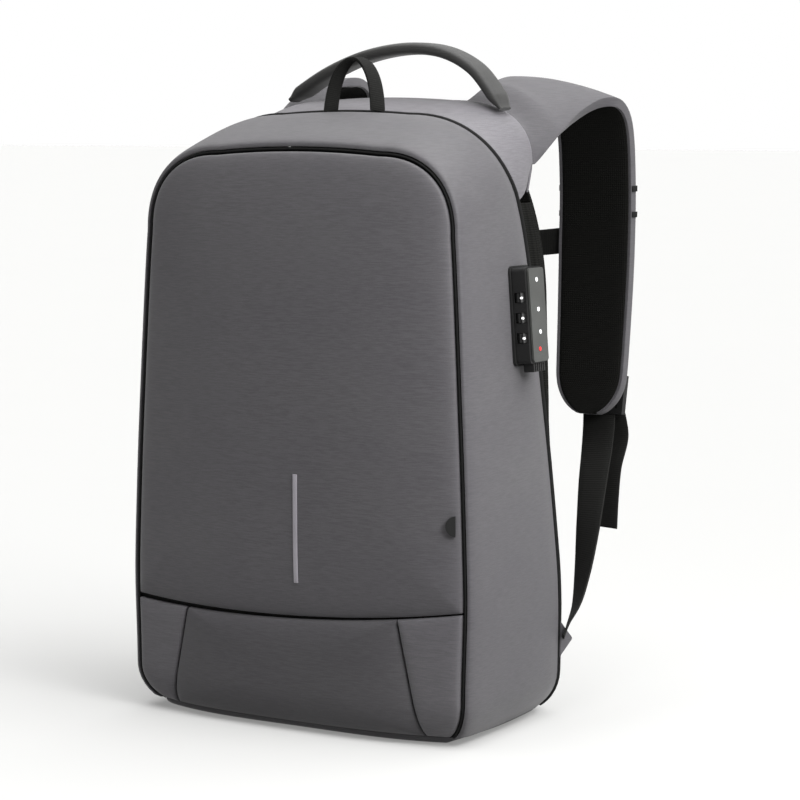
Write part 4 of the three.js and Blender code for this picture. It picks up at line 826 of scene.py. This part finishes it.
yoke_rows = yoke_grid(spread(0, 1, 26))
rim = yoke_rows[-1]
middle = (len(rim) - 1) / 2
arch = []
for i, p in enumerate(rim):
    share = abs(i - middle) / middle
    z = BACK_TOP + 0.5 - (BACK_TOP - rim[0].z + 22) * share ** 2.6
    x = min(back_half(min(z, BACK_TOP - 0.4)), abs(p.x) * 0.97)
    arch.append(Vector((math.copysign(x, p.x), BACK_Y - 0.6, z)))
yoke_rows.append([p.lerp(q, 0.2) + Vector((0, 0.9, 0)) for p, q in zip(rim, arch)])
yoke_rows.append([Vector((p.lerp(q, 0.5).x, BACK_Y - 0.7, p.lerp(q, 0.5).z)) for p, q in zip(rim, arch)])
yoke_rows.append(arch)
yoke = wall_piece("rear_yoke_cloth", flipped(yoke_rows), CLOTH)
finish_piece(yoke, top_cloth, ("rear_yoke",))

# %% [markdown]
# The back rests on the wearer: a thick spacer mesh pad with an air channel down its middle. Between
# it and the zip runs a narrow black rim, which shows from the side as a dark edge.

# %% Padded back and its rims
BACK_PAD, CHANNEL_WIDTH, CHANNEL_DEPTH = 10, 34, 5
rim_top = ZIP_TOP - ZIP_CORNER_HEIGHT - 1.2
rim_heights = [BASE_SEAM + 2 + (rim_top - BASE_SEAM - 2) * t ** 1.3 for t in spread(0, 1, 50)]
rim_grid = []
for share in spread(0, 1, 8):
    line = []
    for z in rim_heights:
        start_x = rear_half(z) - ZIP_TUCK
        start_y = min(rear_edge_y(z) + ZIP_RECESS, BACK_Y - 2)
        x = start_x + (back_half(z) - start_x) * share + 2.5 * math.sin(math.pi * share)
        line.append(Vector((x, start_y + (BACK_Y - 0.3 - start_y) * share, z)))
    rim_grid.append(line)
right_rim = wall_piece("back_rim_cloth", flipped(rim_grid), CLOTH)
finish_pair(right_rim, "back_rim", air_mesh)

columns, heights = spread(-1, 1, 64), spread(0, 1, 90)


def pad_half(z):
    return max(back_half(z), 20) - 1.2


def pad_y(column, height, z):
    edge = max(abs(column), abs(2 * height - 1))
    puff = 0.35 + 0.65 * math.sqrt(max(1 - edge ** 14, 0))
    from_channel = 2 * column * pad_half(z) / CHANNEL_WIDTH
    channel = CHANNEL_DEPTH * math.exp(-2 * from_channel ** 2) * math.sin(math.pi * height) ** 0.3
    return BACK_Y + BACK_PAD * puff - channel


def pad_line(height, y_at):
    z = BACK_FOOT + (BACK_TOP - 1.5 - BACK_FOOT) * height
    return [Vector((column * pad_half(z), y_at(column, height, z), z)) for column in columns]


outer = [pad_line(height, pad_y) for height in heights]
inner = [pad_line(height, lambda *place: BACK_Y + 0.3) for height in heights]
back = between("back_pad_cloth", outer, inner, grid_uvs(outer))
finish_piece(back, air_mesh, ("back_panel",))

# %% [markdown]
# The base is a tray: a flat floor turned up to the seam that runs round the foot of the body.

# %% Base
def base_loop(inset, z):
    half = front_half(BASE_SEAM) - 0.35
    rear_y, turn = BACK_Y - 0.6, 9
    widen = rear_half(BASE_SEAM) - half
    front_y = front_face_y(half, BASE_SEAM) - 0.2
    points = [(x, front_face_y(x, BASE_SEAM) - 0.2) for x in spread(-half, half, 48)]
    side = [(half + widen * t + SIDE_SWELL * math.sin(math.pi * t), front_y + (rear_y - turn - front_y) * t)
            for t in spread(0, 1, 30)[1:-1]]
    rear = [(x, rear_y - turn * (abs(x) / half) ** 6) for x in spread(half - 2, -half + 2, 40)]
    loop = points + side + rear + [(-x, y) for x, y in reversed(side)]
    shares = [1 - inset / math.hypot(x, y) for x, y in loop]
    return [Vector((x * share, y * share, z)) for (x, y), share in zip(loop, shares)]


seam = BASE_SEAM - 0.35
SEAM_INSET, BASE_TURN, FLOOR_INSET = 0.4, 12.6, 60
base_rows = [base_loop(SEAM_INSET + 2.8, seam), base_loop(SEAM_INSET, seam)]
for t in spread(0, math.pi / 2, 8)[1:]:
    base_rows.append(base_loop(SEAM_INSET + BASE_TURN * (1 - math.cos(t)), seam * (1 - math.sin(t))))
base_rows += [base_loop(FLOOR_INSET, 0), base_loop(FLOOR_INSET, CLOTH)]
base_rows.append(base_loop(SEAM_INSET + BASE_TURN + 0.5, CLOTH))
base = ring_piece("base_tray", base_rows)
finish_piece(base, pocket_cloth, ("base_panel",), angle=60)

# %% [markdown]
# The carry handle is cloth wrapped round soft foam, flat where it is sewn down and full in the
# middle. It is a row of rounded sections along an arch that leans to the right.

# %% Handle and zip pull loop
def curve_point(points, at):
    """Smooth run through points with uneven gaps; at counts points."""
    low = max(0, min(int(at), len(points) - 2))
    p1, p2 = points[low], points[low + 1]
    p0 = points[low - 1] if low else p1 * 2 - p2
    p3 = points[low + 2] if low + 2 < len(points) else p2 * 2 - p1
    gaps = [max((b - a).length, 1e-6) ** 0.5 for a, b in ((p0, p1), (p1, p2), (p2, p3))]
    start = ((p1 - p0) / gaps[0] - (p2 - p0) / (gaps[0] + gaps[1]) + (p2 - p1) / gaps[1]) * gaps[1]
    end = ((p2 - p1) / gaps[1] - (p3 - p1) / (gaps[1] + gaps[2]) + (p3 - p2) / gaps[2]) * gaps[1]
    t = at - low
    s = 1 - t
    return p1 * (s * s * (1 + 2 * t)) + p2 * (t * t * (1 + 2 * s)) + start * (s * s * t) - end * (t * t * s)


HANDLE_SPAN, HANDLE_SHIFT, HANDLE_SETBACK, HANDLE_RISE = 183, 7, 10, 31
HANDLE_WIDTH, HANDLE_END, HANDLE_THICKNESS = 24, 16, 9
HANDLE_ROWS = ((-0.50, 0.00), (-0.44, 0.14), (-0.30, 0.52), (-0.12, 0.84), (0.08, 1.00), (0.24, 0.94),
               (0.37, 0.62), (0.46, 0.20), (0.50, 0.00))
handle_ridge = yoke_outline(0.8)


def ridge_height(x):
    """Height of the yoke under the handle at a distance from the middle."""
    right = handle_ridge[:len(handle_ridge) // 2 + 1]
    for (ax, az), (bx, bz) in zip(right, right[1:]):
        if bx <= abs(x) <= ax:
            return az + (bz - az) * (ax - abs(x)) / max(ax - bx, 1e-6)
    return right[-1][1]


handle_points = []
for along, rise in HANDLE_ROWS:
    x = along * HANDLE_SPAN + HANDLE_SHIFT
    z = ridge_height(x) + 0.35 + HANDLE_THICKNESS * 0.55 + rise * HANDLE_RISE
    handle_points.append(Vector((x, BACK_Y - HANDLE_SETBACK, z)))
handle_rings = []
last = len(handle_points) - 1
for t in spread(0, 1, 90):
    here = curve_point(handle_points, t * last)
    after = curve_point(handle_points, min(t + 0.01, 1) * last)
    ahead = after - curve_point(handle_points, max(t - 0.01, 0) * last)
    up = ahead.cross(Vector((0, 1, 0))).normalized()
    to_end = min(min(t, 1 - t) / 0.12, 1)
    to_end = to_end * to_end * (3 - 2 * to_end)
    wide = (HANDLE_END + (HANDLE_WIDTH - HANDLE_END) * to_end) / 2
    thick = HANDLE_THICKNESS * (0.45 + 0.55 * to_end) / 2
    ring = []
    for angle in spread(0, 2 * math.pi, 32)[:-1]:
        side = math.copysign(abs(math.cos(angle)) ** 0.5, math.cos(angle))
        rise = math.copysign(abs(math.sin(angle)) ** 0.8, math.sin(angle))
        ring.append(here + Vector((0, side * wide, 0)) + up * (rise * thick))
    handle_rings.append(ring)
handle = ring_piece("carry_handle", handle_rings)
finish_piece(handle, handle_cloth, ("top_handle",), angle=50)

LOOP_SPAN, LOOP_RISE, LOOP_X, LOOP_WIDTH, LOOP_THICKNESS = 40, 38, 8, 11, 2.2


def band_grid(stations):
    """Rows across a flat band, from its middle, the way of its width, and its width."""
    grid = []
    for side in spread(-0.5, 0.5, 4):
        grid.append([place + across * (side * width) for place, across, width in stations])
    return grid


loop_y = rear_edge_y(ZIP_TOP) - 1
stations = []
for angle in spread(0, math.pi, 48):
    up = max(math.sin(angle), 0) ** 0.75
    side = math.cos(angle) * (1 - 0.16 * up)
    place = Vector((LOOP_X + LOOP_SPAN / 2 * side, loop_y + 3 * up, ZIP_TOP + 0.4 + LOOP_RISE * up))
    stations.append((place, Vector((0.62 * abs(side) + 0.1, 0.75, -0.2 * side)).normalized(), LOOP_WIDTH))
loop = wall_piece("zip_pull_webbing", band_grid(stations), LOOP_THICKNESS, LOOP_THICKNESS / 2, hem=0.4)
finish_piece(loop, black_webbing, ("zip_pull_loop",))

# %% [markdown]
# A shoulder strap is a cloth skin over a spacer mesh pad. It is sewn in behind the yoke, spreads
# like a wing, rolls over the shoulder and hangs down to a round end. One table gives its middle
# line, width and roll, and both the skin and the pad are read from it.

# %% Shape of the right shoulder strap
STRAP_WIDTH, STRAP_REACH, STRAP_PAD, PAD_INSET, END_ROUND = 62, 114, 6.5, 2.9, 0.1
STRAP_COLUMNS = ("run", "x", "reach", "height", "width", "roll", "dome")
STRAP_ROWS = [dict(zip(STRAP_COLUMNS, row)) for row in (
    (0.10, 0.668, 0.20, 0.981, 1.13, 31, 0.17),
    (0.19, 0.682, 0.43, 1.003, 1.05, 24, 0.12),
    (0.27, 0.716, 0.66, 1.012, 1.00, 14, 0.08),
    (0.35, 0.754, 0.84, 1.000, 1.00, 6, 0.05),
    (0.42, 0.772, 0.95, 0.955, 1.00, 0, 0.03),
    (0.52, 0.774, 1.00, 0.860, 1.00, 0, 0.02),
    (0.66, 0.772, 1.00, 0.740, 1.00, 0, 0.02),
    (0.80, 0.777, 0.96, 0.625, 0.97, 0, 0.02),
    (0.92, 0.790, 0.89, 0.525, 0.93, 0, 0.02),
    (1.00, 0.798, 0.84, 0.466, 0.88, 0, 0.02),
)]


def strap_value(column, share):
    return table_value(STRAP_ROWS, "run", column, share)


def strap_middle(share):
    return Vector((HALF_WIDTH * strap_value("x", share), BACK_Y + STRAP_REACH * strap_value("reach", share),
                   BODY_HEIGHT * strap_value("height", share)))


def strap_frame(share):
    """Middle, way across, way out, width and dome of the strap at a share of its run."""
    roll = math.radians(strap_value("roll", share))
    across = Vector((math.cos(roll), 0, -math.sin(roll)))
    ahead = strap_middle(min(share + 0.01, 1)) - strap_middle(max(share - 0.01, 0))
    out = across.cross(ahead).normalized()
    past = max((share - (1 - END_ROUND)) / END_ROUND, 0)
    width = STRAP_WIDTH * strap_value("width", share) * math.sqrt(max(1 - 0.88 * past ** 2.4, 0))
    return strap_middle(share), across, out, width, STRAP_WIDTH * strap_value("dome", share)


SKIN_COLUMNS = spread(0, 1, 20)
SIDE_WRAP = (7.2, 5.6, 3.6, 1.6)
ROOT_INNER = 0.58


def skin_row(share, wrap=1, lift=0):
    """Across the skin at a share of the strap's run, with its sides wrapped down over the pad."""
    place, across, out, width, dome = strap_frame(share)

    def edge(side, depth):
        draw_in = 0.5 * (depth / SIDE_WRAP[0]) ** 2
        return place + across * (side * (width / 2 + lift - draw_in)) - out * (depth * wrap - lift)

    flat = [place + across * ((c - 0.5) * (width + 2 * lift)) + out * (dome * (1 - (2 * c - 1) ** 2) + lift)
            for c in SKIN_COLUMNS]
    return [edge(-1, depth) for depth in SIDE_WRAP] + flat + [edge(1, depth) for depth in reversed(SIDE_WRAP)]


def root_row(back):
    """Where the strap is sewn on, between two places on the yoke's rear rim."""
    right = rim[:len(rim) // 2 + 1]
    lengths = [0]
    for a, b in zip(right, right[1:]):
        lengths.append(lengths[-1] + (b - a).length)
    line = []
    for column in SKIN_COLUMNS:
        target = ROOT_INNER * (1 - column) * lengths[-1]
        k = max(i for i in range(len(right) - 1) if lengths[i] <= target)
        t = (target - lengths[k]) / (lengths[k + 1] - lengths[k])
        line.append(right[k].lerp(right[k + 1], t) + Vector((0, back, -0.8)))
    after, before = (line[1] - line[0]).normalized(), (line[-1] - line[-2]).normalized()
    first = [line[0] - after * (0.06 * depth) for depth in SIDE_WRAP]
    last = [line[-1] + before * (0.06 * depth) for depth in reversed(SIDE_WRAP)]
    return first + line + last


strap_run = spread(STRAP_ROWS[0]["run"], 1 - END_ROUND, 60) + spread(1 - END_ROUND, 1, 16)[1:]
body_rows = [skin_row(share, min(0.35 + (share - strap_run[0]) / 0.12, 1)) for share in strap_run]
root_rows = [root_row(-3), root_row(3)]
skin_rows = []
for i in range(14):
    at = 1 + i / 14
    picks = [root_rows[0], root_rows[1], body_rows[0], body_rows[4]]
    skin_rows.append([curve_point([row[j] for row in picks], at) for j in range(len(body_rows[0]))])
skin_rows = [root_rows[0]] + skin_rows + body_rows
strap_centre = [row[len(row) // 2] for row in skin_rows]
strap_length = sum((b - a).length for a, b in zip(strap_centre, strap_centre[1:]))
print("strap length along its middle:", round(strap_length), "mm")

# %% Strap skin and pad
skin = wall_piece("strap_skin_cloth", skin_rows, CLOTH)
for piece in finish_pair(skin, "strap_skin", side_cloth):
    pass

pad_rings = []
for share in strap_run[2:]:
    place, across, out, width, dome = strap_frame(share)
    half = max(width / 2 - PAD_INSET, 1.5)
    ring = []
    for angle in spread(0, 2 * math.pi, 40)[:-1]:
        side = math.copysign(abs(math.cos(angle)) ** 0.35, math.cos(angle))
        deep = math.copysign(abs(math.sin(angle)) ** 0.7, math.sin(angle))
        lift = dome * (1 - (side * half * 2 / width) ** 2) - CLOTH - 0.4 - STRAP_PAD / 2
        ring.append(place + across * (side * half) + out * (lift + deep * STRAP_PAD / 2))
    pad_rings.append(ring)
pad = ring_piece("strap_pad_foam", pad_rings)
for piece in finish_pair(pad, "strap_pad", air_mesh, angle=60):
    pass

# %% [markdown]
# Two narrow bands cross the strap, black webbing drops from its lower end through a ladder lock to
# a cloth tab in the rear seam, and a spare tail hangs beside it. Each is a flat band on a route.

# %% Bands, webbing, tails, tabs and sternum strap
BAND_WIDTH = 5
for label, share in (("upper", 0.53), ("lower", 0.58)):
    band = [skin_row(share + step * BAND_WIDTH / BODY_HEIGHT, lift=0.9) for step in (0, 0.5, 1)]
    finish_pair(wall_piece("band", band, 1, 0, hem=0.2), f"strap_band_{label}", black_tape)

WEBBING_WIDTH, WEBBING_THICKNESS = 27, 1.6
WEBBING_ROWS = ((0.806, 0.925, 0.520, 0, 0), (0.822, 0.905, 0.459, 0, 0), (0.834, 0.850, 0.415, -4, 1),
                (0.868, 0.700, 0.355, -12, 3), (0.925, 0.490, 0.285, -24, 6), (0.972, 0.300, 0.220, -38, 10),
                (0.992, 0.165, 0.172, -50, 15), (0.986, 0.060, 0.142, -58, 20),
                (0.980, 0.010, 0.122, -62, 24))
TAIL_ROWS = ((0.822, 0.955, 0.505, 0, 0), (0.850, 1.000, 0.460, 0, 0), (0.862, 1.015, 0.425, -4, 0),
             (0.852, 0.955, 0.375, -10, 0), (0.862, 0.895, 0.325, -12, 0), (0.878, 0.840, 0.275, -14, 0))


def route_stations(table, width):
    points = [Vector((HALF_WIDTH * x, BACK_Y + STRAP_REACH * reach, BODY_HEIGHT * height))
              for x, reach, height, turn, lift in table]
    last = len(table) - 1
    found = []
    for at in spread(0, last, 12 * last):
        low = min(int(at), last - 1)
        here, after = table[low], table[low + 1]
        turn, lift = (math.radians(here[k] + (after[k] - here[k]) * (at - low)) for k in (3, 4))
        across = Vector((math.cos(turn) * math.cos(lift), math.sin(turn) * math.cos(lift), math.sin(lift)))
        found.append((curve_point(points, at), across, width))
    return found


for name, table in (("lower_webbing", WEBBING_ROWS), ("webbing_tail", TAIL_ROWS)):
    band = wall_piece(name, band_grid(route_stations(table, WEBBING_WIDTH)), WEBBING_THICKNESS,
                      WEBBING_THICKNESS / 2, hem=0.4)
    finish_pair(band, name, black_webbing)

TAB_FOOT, TAB_LENGTH, TAB_REACH, TAB_THICKNESS, TAB_TIP = 43, 27, 13, 2.4, 0.42
tab_grid = []
for share in spread(0, 1, 20):
    z = TAB_FOOT + TAB_LENGTH * share
    reach = share / TAB_TIP if share < TAB_TIP else (1 - share) / (1 - TAB_TIP)
    start = Vector((rear_half(z) + 0.2, BACK_Y - 4.5, z))
    tip = Vector((HALF_WIDTH * 0.985, BACK_Y + TAB_REACH, z))
    tab_grid.append([start.lerp(tip, max(reach, 0.06) * t) for t in spread(0, 1, 8)])
tab = wall_piece("tab", tab_grid, TAB_THICKNESS, TAB_THICKNESS / 2)
finish_pair(tab, "strap_tab", side_cloth)

STERNUM_Z, STERNUM_WIDTH, STERNUM_SAG, BUCKLE_HALF = 344, 20, 6, 22
place, across, out, width, dome = strap_frame(0.70)
end_x = place.x - width / 2 + 6
chest = []
for x in spread(BUCKLE_HALF - 3, end_x, 40):
    sag = STERNUM_SAG * (1 - (x / end_x) ** 2)
    chest.append((Vector((x, place.y - 2, STERNUM_Z - sag)), Vector((0, 0, 1)), STERNUM_WIDTH))
chest_band = wall_piece("chest", band_grid(chest), WEBBING_THICKNESS, WEBBING_THICKNESS / 2, hem=0.4)
finish_pair(chest_band, "sternum_webbing", black_webbing)

# %% [markdown]
# These hard pieces keep the shape they have in the frame, and only get their finish here.

# %% Finishes of the pieces that stay
KEPT = {
    "port_cap": port_rubber, "sternum_buckle": buckle_plastic, "ladder_lock_right": buckle_plastic,
    "ladder_lock_left": buckle_plastic, "lock_base": lock_black, "lock_housing": lock_black,
    "lock_face_plate": lock_grey, "dial_axle": axle_steel, "dial_wheel_upper": lock_black,
    "dial_wheel_middle": lock_black, "dial_wheel_lower": lock_black, "release_slide": lock_black,
}
for name, material in KEPT.items():
    nodes[name].data.materials.clear()
    nodes[name].data.materials.append(material)

# %% [markdown]
# The lock is a moulded case with three thumb wheels on an axle. Each wheel carries a white
# index stud, sunk almost flush so that it clears the case, and the cover has small raised studs,
# one of them red. A stud starts as a turned disc:
# its face is inset and drawn up, and its edges are rounded.

# %% Studs of the lock
def stud(name, place, normal, radius, height, material, body="root", sink=0):
    deselect()
    bpy.ops.mesh.primitive_cylinder_add(vertices=24, radius=radius * MM, depth=height * MM)
    piece = bpy.context.object
    piece.name = name
    bpy.ops.object.mode_set(mode="EDIT")
    shape = bmesh.from_edit_mesh(piece.data)
    for face in shape.faces:
        face.select = face.normal.z > 0.9
    bmesh.update_edit_mesh(piece.data)
    bpy.ops.mesh.inset(thickness=radius * 0.3 * MM)
    bpy.ops.mesh.extrude_region_move(TRANSFORM_OT_translate={"value": (0, 0, height * 0.3 * MM)})
    bpy.ops.object.mode_set(mode="OBJECT")
    piece.rotation_mode = "QUATERNION"
    piece.rotation_quaternion = normal.to_track_quat("Z", "Y")
    piece.location = place - normal * (sink * MM)
    bpy.ops.object.transform_apply(location=True, rotation=True, scale=True)
    soften(piece, radius * 0.12)
    return finish_piece(piece, material, body=body)


def surface_point(name, start, towards):
    """Where a straight line meets a solid of the frame, and the normal there."""
    node = nodes[name]
    inverse = node.matrix_world.inverted()
    origin = inverse @ (Vector(start) * MM)
    place, normal = node.ray_cast(origin, (inverse.to_3x3() @ Vector(towards)).normalized())[1:3]
    return node.matrix_world @ place, (node.matrix_world.to_3x3() @ normal).normalized()


for label in ("upper", "middle", "lower"):
    low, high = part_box(f"dial_wheel_{label}")
    centre = (low + high) / 2 / MM
    place, normal = surface_point(f"dial_wheel_{label}", (centre.x + 2, -60, centre.z), (0, 1, 0))
    stud(f"index_stud_{label}", place, normal, 1.3, 0.7, dot_white, f"dial_{label}", sink=0.48)
for label, y, z, material in (("top", 17, 324, dot_white), ("middle", 17, 303, dot_white),
                              ("low", 18, 287, dot_white), ("red", 16, 275, dot_red)):
    place, normal = surface_point("lock_face_plate", (220, y, z), (-1, 0, 0))
    stud(f"cover_stud_{label}", place, normal, 1.6, 0.6, material)

# %% [markdown]
# A pale floor that glows a little, and soft light from above and from the right, as in a product
# photograph. A small near light brightens the right edge of the front. The camera stands low in
# front of the bag's right corner, with a long lens.

# %% Floor, light and camera
bpy.ops.mesh.primitive_plane_add(size=60, location=(0, 0, 0))
floor = bpy.context.object
floor.name = "floor"
floor_finish, floor_tree, floor_shader = new_material("floor_paint", roughness=1.0, specular=0.0)
floor_stops = ((0.0, (0.25, 0.25, 0.247)), (1.0, (0.255, 0.255, 0.252)))
floor_shade = ramp(floor_tree, mapped_noise(floor_tree, (2, 2, 2)), floor_stops)
floor_tree.links.new(floor_shade, floor_shader.inputs["Base Color"])
floor_shader.inputs["Emission Color"].default_value = (1.0, 1.0, 0.99, 1)
floor_shader.inputs["Emission Strength"].default_value = 0.24
floor.data.materials.append(floor_finish)

world = bpy.context.scene.world or bpy.data.worlds.new("studio")
bpy.context.scene.world = world
world.use_nodes = True
tree = world.node_tree
tree.nodes.clear()
output = tree.nodes.new("ShaderNodeOutputWorld")
room, paper = tree.nodes.new("ShaderNodeBackground"), tree.nodes.new("ShaderNodeBackground")
room.inputs["Color"].default_value = (1, 1, 1, 1)
room.inputs["Strength"].default_value = 0.18
paper.inputs["Color"].default_value = (1, 1, 1, 1)
paper.inputs["Strength"].default_value = 1.0
seen = tree.nodes.new("ShaderNodeLightPath")
choice = tree.nodes.new("ShaderNodeMixShader")
tree.links.new(seen.outputs["Is Camera Ray"], choice.inputs[0])
tree.links.new(room.outputs[0], choice.inputs[1])
tree.links.new(paper.outputs[0], choice.inputs[2])
tree.links.new(choice.outputs[0], output.inputs[0])


def add_sun(name, towards, strength, softness):
    """Soft distant light that comes from a direction."""
    light = bpy.data.lights.new(name, "SUN")
    light.energy = strength
    light.angle = math.radians(softness)
    holder = bpy.data.objects.new(name, light)
    holder.rotation_euler = Vector(towards).to_track_quat("Z", "Y").to_euler()
    bpy.context.scene.collection.objects.link(holder)


add_sun("key", (0.78, -0.06, 0.62), 3.2, 50)
add_sun("overhead", (0.1, 0.1, 1.0), 6.5, 80)
add_sun("fill_left", (-1.4, -0.9, 0.5), 0.35, 60)

box_light = bpy.data.lights.new("near_softbox", "AREA")
box_light.energy, box_light.size = 4.5, 0.25
softbox = bpy.data.objects.new("near_softbox", box_light)
softbox.location = (0.62, -0.23, 0.52)
softbox.rotation_euler = (softbox.location - Vector((0, -0.07, 0.3))).to_track_quat("Z", "Y").to_euler()
bpy.context.scene.collection.objects.link(softbox)

VIEW_TURN, VIEW_PITCH, VIEW_DISTANCE, FOCAL = math.radians(31.07), math.radians(6.22), 1911.84, 2600
AIM = Vector((0, 2, 248.23))
SHIFT_RIGHT, SHIFT_UP = 37.93, -16.93
ahead = Vector((-math.sin(VIEW_TURN) * math.cos(VIEW_PITCH), math.cos(VIEW_TURN) * math.cos(VIEW_PITCH),
                -math.sin(VIEW_PITCH)))
right = Vector((math.cos(VIEW_TURN), math.sin(VIEW_TURN), 0))
place = AIM - ahead * VIEW_DISTANCE + right * SHIFT_RIGHT + right.cross(ahead) * SHIFT_UP
lens = bpy.data.cameras.new("camera")
lens.sensor_width = 36
lens.lens = FOCAL / 800 * lens.sensor_width
lens.clip_end = 100
camera = bpy.data.objects.new("camera", lens)
camera.location = place * MM
camera.rotation_euler = ahead.to_track_quat("-Z", "Y").to_euler()
bpy.context.scene.collection.objects.link(camera)
bpy.context.scene.camera = camera
bpy.context.scene.view_settings.view_transform = "Standard"
print("camera at", [round(value, 3) for value in camera.location])
